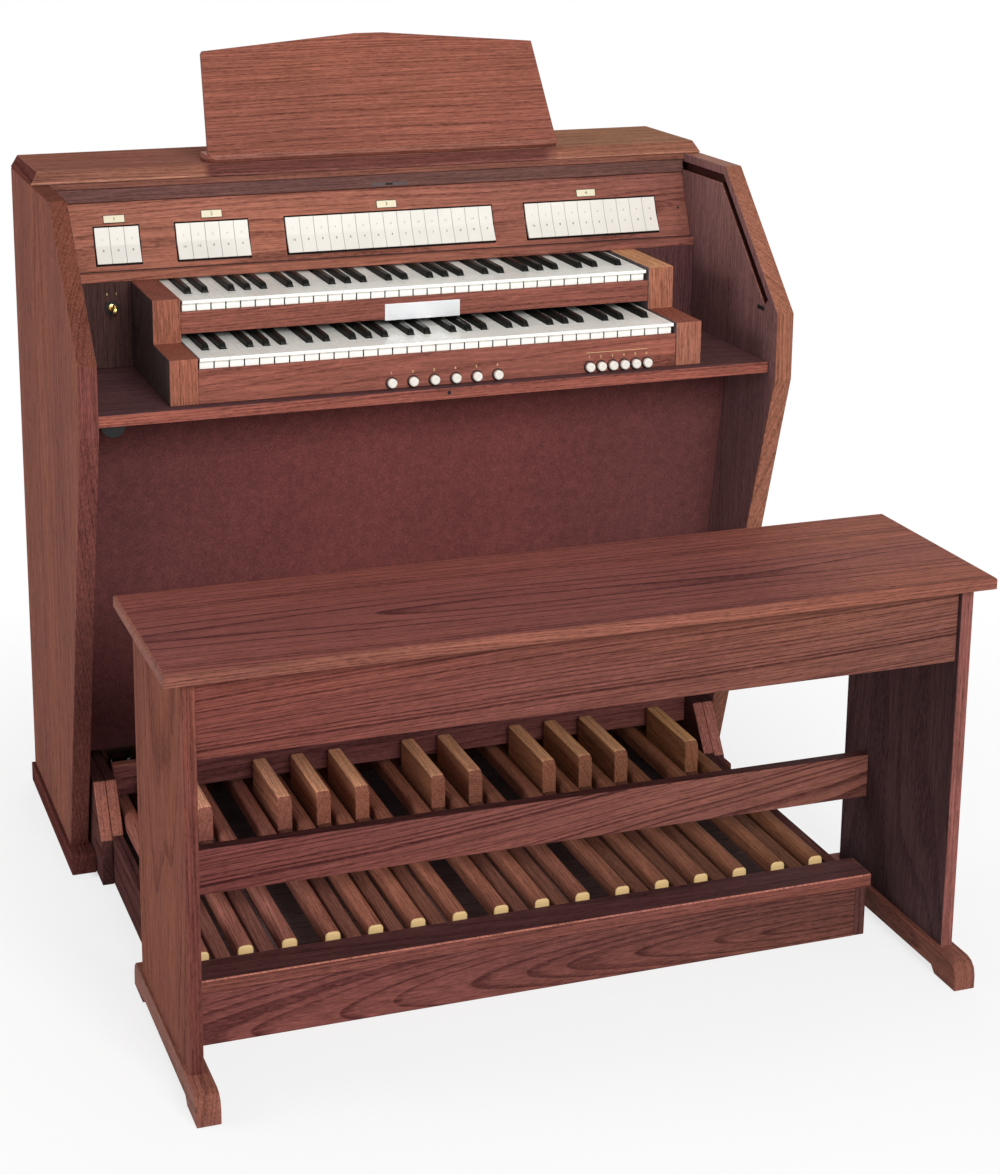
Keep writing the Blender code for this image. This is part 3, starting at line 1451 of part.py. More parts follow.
def bench_rails():
    """The bench's apron under the seat and the stretcher between its legs."""
    apron_front = BENCH_TOP_REAR + BENCH_TOP_DEPTH - BENCH_APRON_SETBACK
    apron_depths = (apron_front - BENCH_BOARD, apron_front)
    apron_heights = (BENCH_LEG_TOP - BENCH_APRON_HEIGHT, BENCH_LEG_TOP)
    paint(box("bench_apron", bench_between(), apron_depths, apron_heights), "oak")
    stretcher_depths = (BENCH_STRETCHER_FRONT - BENCH_BOARD, BENCH_STRETCHER_FRONT)
    bottom = BENCH_STRETCHER_BOTTOM
    stretcher_heights = (bottom, bottom + BENCH_STRETCHER_HEIGHT)
    paint(box("bench_stretcher", bench_between(), stretcher_depths, stretcher_heights), "oak")


def build_console():
    side_panel("left_side_panel", -1)
    side_panel("right_side_panel", 1)
    lid()
    roll_top()
    back_panel()
    stop_panel()
    setback_board()
    shelf()
    kick_panel()
    loudspeaker()
    amplifier()
    music_desk()


def build_manuals():
    key_cheek("key_cheek_left", -1)
    key_cheek("key_cheek_right", 1)
    middle_rail()
    key_slip()
    for manual, front, top in (
        ("upper", UPPER_KEY_FRONT, UPPER_KEY_TOP),
        ("lower", LOWER_KEY_FRONT, LOWER_KEY_TOP),
    ):
        naturals(f"{manual}_naturals", front, top)
        sharps(f"{manual}_sharps", front, top)
    for name, (count, centre) in TAB_GROUPS.items():
        tab_group(name, count, centre)
    for name, (count, pitch, centre) in PISTON_GROUPS.items():
        piston_group(name, count, pitch, centre)
    power_key()


def build_pedalboard():
    pedal_frame()
    pedals()


def build_bench():
    bench_top()
    bench_side("bench_side_left", -1)
    bench_side("bench_side_right", 1)
    bench_rails()


def main():
    clear_scene()
    build_console()
    build_manuals()
    build_pedalboard()
    build_bench()


main()
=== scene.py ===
"""Console organ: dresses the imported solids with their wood, keys, stops, pedals and bench.

Metres, +Z up, the player at -Y. Depths are counted forwards from the console's back,
and widths from its centre line.
"""
import math

import bmesh
import bpy
from bpy.props import FloatProperty, FloatVectorProperty, PointerProperty
from mathutils import Euler, Matrix, Vector


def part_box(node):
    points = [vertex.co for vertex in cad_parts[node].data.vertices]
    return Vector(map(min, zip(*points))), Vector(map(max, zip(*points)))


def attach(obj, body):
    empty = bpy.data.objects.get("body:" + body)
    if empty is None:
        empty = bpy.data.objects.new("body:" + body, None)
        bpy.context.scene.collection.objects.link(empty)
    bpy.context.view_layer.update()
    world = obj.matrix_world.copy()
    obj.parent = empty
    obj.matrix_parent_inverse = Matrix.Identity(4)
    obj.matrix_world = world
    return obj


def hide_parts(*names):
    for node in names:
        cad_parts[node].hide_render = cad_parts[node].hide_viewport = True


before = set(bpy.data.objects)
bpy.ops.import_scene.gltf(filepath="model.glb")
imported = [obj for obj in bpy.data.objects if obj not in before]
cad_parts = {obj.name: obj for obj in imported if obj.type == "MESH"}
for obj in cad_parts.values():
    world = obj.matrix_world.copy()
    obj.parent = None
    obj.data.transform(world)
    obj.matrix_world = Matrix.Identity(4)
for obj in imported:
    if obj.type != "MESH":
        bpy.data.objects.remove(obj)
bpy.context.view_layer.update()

bl_info = {
    "name": "Console Organ",
    "version": (1, 0, 0),
    "blender": (4, 5, 0),
    "location": "View3D > Sidebar > Organ",
    "description": "Builds the wood, keys, stops, pedals and bench of a console organ",
    "category": "Add Mesh",
}

# Reference lines of the console, read from its solids
CENTRE_X = (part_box("left_side_panel")[0].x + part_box("right_side_panel")[1].x) / 2
BACK_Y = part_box("back_panel")[1].y
SHELF_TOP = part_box("shelf")[1].z
SHELF_FRONT = BACK_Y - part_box("shelf")[0].y
INSIDE_HALF = 0.5510
KICK_FOOT = (0.2990, 0.170)
KICK_HEAD = (0.3956, 0.7820)

# Manuals
KEY_PITCH = 0.02357
KEY_SPACING = 0.0003
NATURAL_COUNT = 33
NATURAL_NAMES = "CDEFGAB"
MANUAL_X = CENTRE_X + 0.0025
MANUAL_HALF = NATURAL_COUNT * KEY_PITCH / 2
HEAD_LENGTH = 0.050
LIP_OVERHANG = 0.008
LIP_THICKNESS = 0.005
NATURAL_DROP = 0.0185
NATURAL_THICKNESS = 0.012
VISIBLE_LENGTH = 0.1548
SHARP_WIDTH = 0.0110
SHARP_HEIGHT = 0.0090
SHARP_NOTCH = 0.0065
SHARP_END_CLEARANCE = 0.0015
SHARP_TAIL_DROP = 0.0022
SHARP_TAIL_THICKNESS = 0.0061
KEY_PLATE_MARGIN = 0.0010
KEY_PLATE_DEPTH = 0.0025
SHARP_HEEL_SLOPE = 0.0168
SHARP_SHIFTS = {"C": -0.0018, "D": 0.0018, "F": -0.0026, "G": 0.0, "A": 0.0026}

# Stop panel
PANEL_LEAN = math.radians(20.97)
PANEL_FOOT = (0.2371, 0.9549)
PANEL_TOP = 1.0600
LEDGE_BOTTOM = 0.9412
TAB_MIDDLE = (0.22211, 0.9940)
TAB_PITCH = 0.0240
TAB_SPACING = 0.0005
TAB_HALF = 0.030
TAB_PROUD = 0.0015
TAB_THICKNESS = 0.004
TAB_TILT = math.radians(9.0)
TAB_STEM_HALF = 0.005
TAB_SHAFT_DEPTH = 0.0060
TAB_SHAFT_RADIUS = 0.0020
TAB_GROUPS = {
    "stop_tabs_couplers": (3, -0.4479),
    "stop_tabs_pedal": (5, -0.2915),
    "stop_tabs_great": (15, 0.0115),
    "stop_tabs_swell": (10, 0.3713),
}
TAB_NUMBERS = {
    "stop_tabs_couplers": ("8", "8", "8"),
    "stop_tabs_pedal": ("16", "16", "8", "8", "4"),
    "stop_tabs_great": ("16", "8", "8", "8", "8", "4", "4", "4", "2", "2", "1", "3", "8", "8", "4"),
    "stop_tabs_swell": ("16", "8", "8", "8", "4", "4", "2", "1", "8", "8"),
}

# Pistons
SLIP_FRONT = BACK_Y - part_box("key_slip")[0].y
PISTON_HEIGHT = 0.0102
PISTON_GROUPS = {
    "pistons_centre": (6, 0.0350, 0.0018),
    "pistons_right": (6, 0.0198, 0.2944),
}
PISTON_HEAD = (0.0075, 0.007)
PISTON_HEAD_REAR = 0.0036

# Lock of the power switch
SWITCH_X = -0.4660
SWITCH_HEIGHT = 0.8990
SWITCH_BOARD_FRONT = 0.2513

# Music desk
DESK_X = 0.0138
DESK_LEAN = math.radians(29.9)
DESK_FOOT = (0.1951, 1.1210)
DESK_THICKNESS = 0.012
LID_TOP = 1.1143

# Pedals
PEDAL_PITCH = 0.06446
PEDAL_WIDTH = 0.0235
PEDAL_HEIGHT = 0.0235
PEDAL_REAR = 0.150
PEDAL_FRONT = 0.9055
PEDAL_REAR_TOP = 0.1062
PEDAL_SLOPE = (0.1085 - PEDAL_REAR_TOP) / (PEDAL_FRONT - PEDAL_REAR)
PEDAL_LOW_HEIGHT = 0.0110
PEDAL_ROUNDING = 0.0075
PEDAL_LOW_ROUNDING = 0.0035
PEDAL_END_EASING = 0.0032
FIRST_PEDAL = -0.4925
NATURAL_PEDALS = 16
BLOCK_REAR = 0.372
BLOCK_FRONT = 0.530
BLOCK_TOP = 0.1500
BLOCK_WIDTH = 0.0230
BLOCK_NOSE = 0.010
BLOCK_ROUNDING = 0.0045

# Pedal frame
FRAME_HALF = 0.5275
FRAME_INSIDE = 0.5095
FRAME_FRONT = 0.9685

# Bench
BENCH_X = CENTRE_X + 0.0178

# Floor: half size of the shaded patch, and how far it takes to fade to white
FLOOR_SHADE_HALF = (0.62, 0.60, 0.01)
FLOOR_FADE = 0.9
# Painted shadow on the floor under the console: its middle, its half size and the width over which it fades in
PAINTED_SHADOW_MIDDLE = (CENTRE_X, BACK_Y - 0.190, 0.0)
PAINTED_SHADOW_HALF = (0.560, 0.225, 1.0)
SHADE_FADE = 0.05

# Camera, fitted to the picture's straight edges
CAMERA_PLACE = (-1.1503, -3.1650, 1.6666)
CAMERA_TURN = 18.28
CAMERA_PITCH = 13.76
CAMERA_FOCAL_PIXELS = 2266.0
PICTURE_SIZE = (1000, 1174)
PRINCIPAL_OFFSET = (-98.0, -220.0)


def at(x, depth, height):
    """A point from its width, depth and height on the console."""
    return Vector((CENTRE_X + x, BACK_Y - depth, height))


def rgba(colour):
    return (*colour, 1.0)


# Finishes

class Painter:
    """Writes the node tree of one finish."""

    def __init__(self, name):
        self.material = bpy.data.materials.new(name)
        self.material.use_nodes = True
        self.tree = self.material.node_tree
        self.shader = self.tree.nodes["Principled BSDF"]
        self.coords = self.tree.nodes.new("ShaderNodeTexCoord").outputs["Object"]

    def plug(self, socket, value):
        if isinstance(value, bpy.types.NodeSocket):
            self.tree.links.new(value, socket)
        else:
            socket.default_value = value

    def add(self, kind, output=0, settings=(), **inputs):
        node = self.tree.nodes.new("ShaderNode" + kind)
        for key, value in dict(settings).items():
            setattr(node, key, value)
        for key, value in inputs.items():
            self.plug(node.inputs[key.replace("_", " ")], value)
        return node.outputs[output]

    def maths(self, operation, *values):
        node = self.tree.nodes.new("ShaderNodeMath")
        node.operation = operation
        for index, value in enumerate(values):
            self.plug(node.inputs[index], value)
        return node.outputs[0]

    def vectors(self, operation, *values):
        node = self.tree.nodes.new("ShaderNodeVectorMath")
        node.operation = operation
        for index, value in enumerate(values):
            self.plug(node.inputs[index], value)
        return node.outputs["Value" if operation in {"LENGTH", "DOT_PRODUCT"} else "Vector"]

    def moved(self, vector, location=(0, 0, 0), rotation=(0, 0, 0), scale=(1, 1, 1)):
        return self.add("Mapping", Vector=vector, Location=location, Rotation=rotation, Scale=scale)

    def noise(self, vector, stretch=(1, 1, 1), detail=2.0, roughness=0.5, output=0):
        scaled = self.vectors("MULTIPLY", vector, stretch)
        return self.add("TexNoise", output, Vector=scaled, Scale=1.0, Detail=detail, Roughness=roughness)

    def ramp(self, value, *stops):
        """A colour ramp through (position, grey or colour) stops."""
        node = self.tree.nodes.new("ShaderNodeValToRGB")
        self.plug(node.inputs[0], value)
        elements = node.color_ramp.elements
        while len(elements) < len(stops):
            elements.new(0.5)
        for element, (position, shade) in zip(elements, sorted(stops, key=lambda stop: stop[0])):
            element.position = position
            element.color = rgba(shade) if isinstance(shade, tuple) else (shade, shade, shade, 1.0)
        return node.outputs[0]

    def mix(self, factor, first, second, blend="MIX"):
        node = self.tree.nodes.new("ShaderNodeMix")
        node.data_type = "RGBA"
        node.blend_type = blend
        self.plug(node.inputs[0], factor)
        for index, colour in ((6, first), (7, second)):
            self.plug(node.inputs[index], rgba(colour) if isinstance(colour, tuple) else colour)
        return node.outputs[2]

    def finish(self, colour, roughness, metallic=0.0, specular=0.5, bump=None, strength=0.3, depth=0.0003):
        self.plug(self.shader.inputs["Base Color"], rgba(colour) if isinstance(colour, tuple) else colour)
        self.plug(self.shader.inputs["Roughness"], roughness)
        self.shader.inputs["Metallic"].default_value = metallic
        self.shader.inputs["Specular IOR Level"].default_value = specular
        if bump is not None:
            node = self.tree.nodes.new("ShaderNodeBump")
            node.inputs["Strength"].default_value = strength
            node.inputs["Distance"].default_value = depth
            self.plug(node.inputs["Height"], bump)
            self.plug(self.shader.inputs["Normal"], node.outputs[0])
        return self.material


GRAIN_TURNS = {"X": (0, 0, 0), "Y": (0, 0, -90), "Z": (0, 90, 0)}


def turn_matrix(degrees):
    return Euler([math.radians(angle) for angle in degrees]).to_matrix()


def oak(name, grain, heart, tilt, spacing, tone, contrast=1.0, width=0.45, roughness=0.5, sheen=0.03, light_sweeps=()):
    """Stained oak: growth rings round a tree's heart line, with pores drawn out along the grain.

    heart is a point on that line, tilt turns the line against the board in degrees, and
    width is the dark share of each ring. Each light sweep is an axis and stops (place, tint): painted light and
    shade along it.
    """
    light, dark = tone
    paint = Painter(name)
    place = paint.moved(paint.coords, location=[-value for value in heart])
    turn = (turn_matrix((0, *tilt)) @ turn_matrix(GRAIN_TURNS[grain])).to_euler()
    along = paint.moved(place, rotation=tuple(turn))
    bend = paint.vectors("SUBTRACT", paint.noise(along, (0.9, 4.5, 4.5), 1.0, output=1), (0.5, 0.5, 0.5))
    ripple = paint.vectors("SUBTRACT", paint.noise(along, (6, 30, 30), 2.0, output=1), (0.5, 0.5, 0.5))
    bent = paint.vectors("ADD", along, paint.vectors("MULTIPLY", bend, (0.05, 0.05, 0.05)))
    bent = paint.vectors("ADD", bent, paint.vectors("MULTIPLY", ripple, (0.0, 0.0022, 0.0022)))
    reach = paint.vectors("LENGTH", paint.vectors("MULTIPLY", bent, (0, 1, 1)))
    years = paint.maths("DIVIDE", reach, spacing)
    uneven = paint.add("TexNoise", settings={"noise_dimensions": "1D"}, W=years, Scale=0.8, Detail=1.0)
    years = paint.maths("MULTIPLY_ADD", uneven, 1.6, years)
    phase = paint.maths("FRACT", years)
    ring = paint.ramp(phase, (0.0, 0.0), (1 - width, 0.06), (1 - 0.5 * width, 0.75), (1 - 0.15 * width, 1.0),
                      (1.0, 0.0))
    pore = paint.ramp(paint.noise(along, (80, 430, 430), 2.0, 0.6), (0.49, 0.0), (0.61, 1.0))
    pore = paint.maths("MULTIPLY", pore, paint.maths("MULTIPLY_ADD", ring, 0.62, 0.38))
    fleck = paint.ramp(paint.noise(along, (55, 300, 300), 2.0, 0.6), (0.52, 0.0), (0.70, 0.30))
    fibre = paint.ramp(paint.noise(along, (12, 460, 460), 2.0, 0.6), (0.38, 0.80), (0.62, 1.16))
    strand = paint.ramp(paint.noise(along, (4, 150, 150), 1.0), (0.35, 0.92), (0.65, 1.07))
    shade = paint.ramp(paint.noise(along, (1.4, 9, 9), 2.0), (0.32, 0.93), (0.68, 1.07))
    warmth = paint.ramp(paint.noise(along, (1.2, 7, 7), 1.0), (0.35, (0.96, 0.96, 1.01)), (0.65, (1.04, 1.02, 0.97)))
    colour = paint.mix(paint.maths("MULTIPLY", ring, 0.58 * contrast), light, dark)
    colour = paint.mix(fleck, colour, tuple(min(1.0, 1.5 * c) for c in light))
    colour = paint.mix(paint.maths("MULTIPLY", pore, 0.52), colour, tuple(0.7 * c for c in dark))
    tints = [fibre, strand, shade, warmth]
    # Painted light and shade: each light sweep tints the board lighter or darker along one axis
    for axis, *stops in light_sweeps:
        start, length = stops[0][0], stops[-1][0] - stops[0][0]
        along_axis = paint.add("SeparateXYZ", Vector=paint.coords).node.outputs[axis]
        share = paint.maths("MULTIPLY_ADD", along_axis, 1 / length, -start / length)
        tints.append(paint.ramp(share, *(((stop - start) / length, tint) for stop, tint in stops)))
    for tint in tints:
        colour = paint.mix(1.0, colour, tint, "MULTIPLY")
    height = paint.maths("MULTIPLY_ADD", ring, -0.35, paint.maths("MULTIPLY", pore, -0.8))
    dullness = paint.maths("MULTIPLY_ADD", pore, 0.18, roughness)
    return paint.finish(colour, dullness, specular=sheen, bump=height, strength=0.3, depth=0.0004)


def plain_finish(name, colour, roughness, specular=0.5, metallic=0.0, mottle=0.06, cloud=14.0, grain=900.0,
                 strength=0.05):
    """A moulded, painted or metal surface with a faint mottle and fine unevenness."""
    paint = Painter(name)
    patch = paint.noise(paint.coords, (cloud, cloud, cloud), 3.0)
    low = tuple(channel * (1 - mottle) for channel in colour)
    high = tuple(min(1.0, channel * (1 + mottle)) for channel in colour)
    tint = paint.ramp(patch, (0.35, low), (0.65, high))
    speck = paint.noise(paint.coords, (grain, grain, grain), 2.0)
    rough = paint.maths("MULTIPLY_ADD", patch, roughness * 0.4, roughness * 0.8)
    return paint.finish(tint, rough, metallic, specular, bump=speck, strength=strength, depth=0.0002)


def speaker_cloth_finish(colour, pitch):
    """Woven loudspeaker cloth: crossing threads, flecked and clouded with paler fibres, in painted shade towards
    both ends.
    """
    paint = Painter("speaker_cloth")
    frequency = math.pi / pitch
    split = paint.add("SeparateXYZ", Vector=paint.coords)
    node = split.node
    warp = paint.maths("SINE", paint.maths("MULTIPLY", node.outputs["X"], frequency))
    weft = paint.maths("SINE", paint.maths("MULTIPLY", node.outputs["Z"], frequency))
    weave = paint.maths("MULTIPLY_ADD", paint.maths("MULTIPLY", warp, weft), 0.5, 0.5)
    fleck = paint.noise(paint.coords, (330, 330, 330), 3.0, 0.7)
    tint = paint.ramp(fleck, (0.34, tuple(0.75 * c for c in colour)), (0.50, colour),
                      (0.68, tuple(1.35 * c for c in colour)))
    spots = paint.add("TexVoronoi", Vector=paint.coords, Scale=150.0)
    bright = paint.ramp(spots, (0.04, 0.50), (0.10, 0.0))
    tint = paint.mix(paint.maths("MULTIPLY", weave, 0.28), tint, tuple(0.5 * c for c in colour))
    for scale, low, high in ((5, 0.94, 1.05), (70, 0.90, 1.09)):
        cloud = paint.ramp(paint.noise(paint.coords, (scale, scale, scale), 2.0), (0.35, low), (0.65, high))
        tint = paint.mix(1.0, tint, cloud, "MULTIPLY")
    tint = paint.mix(paint.maths("MULTIPLY", bright, 0.3), tint, (0.38, 0.24, 0.20))
    # Painted shade: darker towards both side panels
    across = paint.ramp(paint.maths("ADD", node.outputs["X"], 0.5), (0.0, (0.74, 0.80, 0.86)), (0.35, 1.0),
                        (0.65, 1.0), (1.0, (0.80, 0.92, 0.98)))
    tint = paint.mix(1.0, tint, across, "MULTIPLY")
    paint.shader.inputs["Sheen Weight"].default_value = 0.10
    return paint.finish(tint, 0.9, specular=0.08, bump=weave, strength=0.4, depth=0.0004)


def end_grain_finish(colour):
    """The pale sawn end of a pedal, with its growth rings."""
    paint = Painter("pedal_end_grain")
    flat = paint.vectors("MULTIPLY", paint.coords, (1, 0, 1))
    warped = paint.vectors("ADD", flat, paint.vectors("MULTIPLY", paint.noise(flat, (30, 1, 30), 2.0, output=1),
                                                    (0.006, 0, 0.006)))
    rings = paint.add("TexWave", settings={"wave_type": "BANDS", "bands_direction": "Z"}, Vector=warped,
                      Scale=90.0, Distortion=0.6)
    pore = paint.ramp(paint.noise(paint.coords, (1500, 40, 1500), 2.0), (0.5, 0.0), (0.7, 1.0))
    tint = paint.mix(paint.maths("MULTIPLY", rings, 0.35), colour, tuple(0.62 * c for c in colour))
    tint = paint.mix(paint.maths("MULTIPLY", pore, 0.25), tint, tuple(0.45 * c for c in colour))
    return paint.finish(tint, 0.55, specular=0.3, bump=pore, strength=0.2, depth=0.0003)


FINISHES = {}


def finish_named(name):
    if name not in FINISHES:
        raise RuntimeError(f"the finish {name} hasn't been mixed yet")
    return FINISHES[name]


def shaded(tone, *factors):
    """Both colours of a tone multiplied channel by channel."""
    return tuple(tuple(channel * factor for channel, factor in zip(colour, factors)) for colour in tone)


def mix_finishes(scene):
    """Mix every finish once, from the colours in the panel."""
    wood = scene.organ_wood
    gap, rough = wood.ring_spacing, wood.roughness
    face = (tuple(wood.stain), tuple(wood.grain))
    stool = shaded(face, 0.80, 0.76, 0.84)
    # Painted shade tones: low for the boards down by the floor, the dim and deep shades for the plinths, the grooves
    # and the faces under the bench, nose for the lid's front
    low = shaded(face, 0.70, 0.72, 0.80)
    painted_dim_shade = shaded(face, 0.42, 0.42, 0.52)
    painted_deep_shade = shaded(face, 0.20, 0.20, 0.28)
    nose = shaded(face, 0.74, 0.78, 0.86)
    boards = {
        "oak_side_left": ("Z", (-0.63, 0.36, 0), (1.5, 1.0), gap * 0.8, shaded(face, 0.84, 1.03, 1.14), 0.5),
        "oak_side_right": ("Z", (0.50, 0.30, 0), (-1.2, 1.5), gap, shaded(face, 0.84, 1.00, 1.10), 0.7),
        # The side panels' inner faces in painted shade
        "oak_side_inner_shade": ("Z", (0.50, 0.30, 0), (-1.2, 1.5), gap, shaded(face, 0.86, 1.31, 1.90), 0.35),
        # Front edges: the right panel's with painted light, the left's in painted shade, darker still below the
        # shelf
        "oak_side_edge": ("Z", (0.20, -0.30, 0), (0.5, 0.5), gap * 0.6, shaded(face, 1.09, 1.33, 1.27), 0.6),
        "oak_side_edge_left_shade": ("Z", (0.20, -0.30, 0), (0.5, 0.5), gap * 0.6, shaded(face, 0.65, 0.68, 0.67), 0.6),
        "oak_side_edge_foot_shade": ("Z", (0.20, -0.30, 0), (0.5, 0.5), gap * 0.6, shaded(face, 0.58, 0.62, 0.75), 0.6),
        # The plinths and the roll top's grooves in painted shade
        "oak_plinth": ("Y", (-0.3, 0, -0.05), (0, 1.0), gap, painted_dim_shade, 0.7),
        "oak_groove_shade": ("Y", (-0.3, 0, 0.2), (0, 1.0), gap, painted_deep_shade, 0.5),
        "oak_lid": ("X", (0, 0.70, 1.02), (1.0, 0.6), gap, face, 0.7),
        # The lid's front in painted shade, with the desk ledge's painted shadow and a painted highlight; the batten
        # under it in painted shade too
        "oak_lid_nose_shade_and_highlight": ("X", (0, 0.20, 1.00), (0.4, 0.5), gap * 0.6, nose, 0.6),
        "oak_lid_batten": ("X", (0, 0.20, 1.00), (0.4, 0.5), gap * 0.6, shaded(nose, 1.00, 1.15, 1.15), 0.6),
        "oak_lid_end": ("Y", (0, 0.20, 1.00), (0.4, 0.5), gap * 0.6, shaded(face, 0.50, 0.49, 0.57), 0.6),
        "oak_desk": ("X", (0.25, 0.56, 0.76), (0.7, -0.9), gap * 0.5, shaded(face, 1.04, 1.10, 1.12), 0.9),
        # The desk's ledge in painted shade, with a painted highlight along its top
        "oak_desk_ledge_shade_and_highlight": ("X", (0.25, 0.30, 1.00), (0.5, 0.6), gap * 0.6, shaded(face, 0.544, 0.50, 0.51), 0.6),
        "oak_stop_panel": ("X", (-0.2, 0.52, 0.90), (0.7, 0.6), gap * 0.6, face, 0.75),
        # The lead rail and the roll top's slats in painted shade under the lid
        "oak_lead_rail_shade": ("X", (0, 0.45, 1.0), (0.5, 0.5), gap * 0.7, shaded(face, 0.49, 0.71, 0.92), 0.5),
        # The set-back board in painted shade beside the cheeks, darkest at the left
        "oak_setback_shade": ("Z", (0, 0.45, 0.8), (0.3, 0.5), gap * 0.5, face, 0.5),
        "oak_cheek": ("Z", (-0.2, 0.30, 0.9), (3.0, 4.0), gap * 0.8, face, 0.6),
        # The cheeks' left-facing sides in painted shade, and a painted highlight on the right cheek's upper top
        "oak_cheek_side_shade": ("Z", (-0.2, 0.30, 0.9), (3.0, 4.0), gap * 0.8, shaded(face, 0.58, 1.40, 2.10), 0.4),
        "oak_cheek_face": ("Z", (0.10, 0.12, 0.9), (2.0, 3.0), gap * 0.6, shaded(face, 1.22, 1.36, 1.30), 0.5),
        "oak_cheek_top_highlight": ("Y", (0.10, 0.12, 0.9), (2.0, 3.0), gap * 0.6, shaded(face, 2.20, 3.30, 2.60), 0.3),
        "oak_rail": ("X", (0.3, 0.22, 0.80), (1.0, 1.0), gap * 0.6, shaded(face, 1.05, 1.10, 1.18), 0.7),
        "oak_shelf": ("X", (0, 0.30, 0.70), (0.8, 1.2), gap, shaded(face, 0.42, 0.58, 0.88), 0.7),
        "oak_shelf_edge": ("X", (0, 0.12, 0.60), (0.3, 0.4), gap * 0.7, shaded(face, 1.16, 1.13, 1.18), 0.7),
        # The frame's front board darker to the right as painted shade; the cap's top, the sides and the cheeks'
        # other faces in painted shade; painted light on the raked fronts, the cap's top edges and the toe board's
        # top
        "oak_frame": ("X", (0.50, -0.386, 0.030), (0.5, 4.2), gap * 0.85, shaded(low, 0.92, 1.02, 1.06), 1.3, 0.40),
        "oak_frame_cap": ("X", (0.1, -0.30, -0.10), (0.6, 0.8), gap, low, 0.8),
        "oak_frame_top_shade": ("X", (0.1, -0.30, -0.10), (0.6, 0.8), gap, shaded(face, 0.34, 0.40, 0.58), 0.6),
        "oak_frame_side_shade": ("Y", (-0.50, 0, 0.05), (0.8, 1.5), gap, shaded(face, 0.36, 0.46, 0.62), 0.8),
        "oak_frame_base": ("X", (-0.50, 0, -0.05), (0.8, 1.5), gap, ((0.20, 0.13, 0.13), (0.10, 0.06, 0.06)), 0.5),
        "oak_toe_board": ("X", (0.3, 0.28, 0.10), (0.8, 1.6), gap, shaded(face, 0.95, 1.05, 1.45), 0.8),
        "oak_frame_highlight": ("Z", (0, 0.10, 0.1), (2.0, 2.0), gap * 0.7, shaded(face, 1.58, 1.83, 2.05), 0.6),
        "oak_bench_seat": ("X", (0.15, -0.42, 0.560), (1.3, 0.5), gap * 1.5, shaded(stool, 0.92, 0.90, 1.00), 1.7,
                           0.24),
        "oak_bench_edge": ("X", (0, -0.60, 0.50), (0.3, 0.4), gap * 0.5, shaded(face, 0.86, 0.96, 1.00), 0.9),
        "oak_bench_apron": ("X", (0.9, -0.40, 0.36), (3.0, -1.0), gap * 0.75, shaded(stool, 0.80, 0.90, 0.92), 1.5,
                            0.36),
        "oak_bench_stretcher": ("X", (-0.5, -0.16, 0.10), (4.5, 0.8), gap * 0.55, shaded(stool, 0.84, 0.92, 1.06),
                                1.5, 0.40),
        "oak_bench_shade": ("X", (-0.5, -0.16, 0.10), (0.8, 0.8), gap, painted_deep_shade, 0.5),
        "oak_bench_leg": ("Z", (-0.2, -0.40, 0.3), (1.5, 1.8), gap, shaded(stool, 0.98, 1.20, 1.14), 0.6),
        # The legs' inner faces in painted shade; the left leg's front in painted shade, lighter upwards, the right
        # leg's front with painted light
        "oak_bench_leg_inner_shade": ("Z", (-0.2, -0.40, 0.3), (1.5, 1.8), gap, shaded(stool, 0.395, 0.66, 0.93), 0.5),
        "oak_bench_leg_left_front_shade": ("Z", (0.1, -0.60, 0.3), (0.4, 0.6), gap * 0.6, shaded(stool, 0.62, 0.63, 0.68), 0.7),
        "oak_bench_leg_right_front_lit": ("Z", (0.1, -0.60, 0.3), (0.4, 0.6), gap * 0.6, shaded(stool, 0.97, 1.15, 1.25), 0.7),
        "oak_bench_foot": ("Y", (-0.4, -0.4, -0.02), (1.0, 1.0), gap, shaded(stool, 0.94, 1.15, 1.15), 0.8),
    }
    seen_edge_on = {"oak_side_left", "oak_side_edge_left_shade", "oak_lid", "oak_lid_end", "oak_plinth", "oak_toe_board",
                    "oak_bench_leg", "oak_frame_side_shade"}
    # The desk's ledge throws a painted shadow on the lid's nose between these widths; bare is the tint outside it
    ledge_half = 0.3065
    shade_left, shade_right = CENTRE_X + DESK_X - ledge_half, CENTRE_X + DESK_X + ledge_half
    bare, shaded_nose = (1.19, 1.40, 1.28), (0.59, 0.57, 0.675)
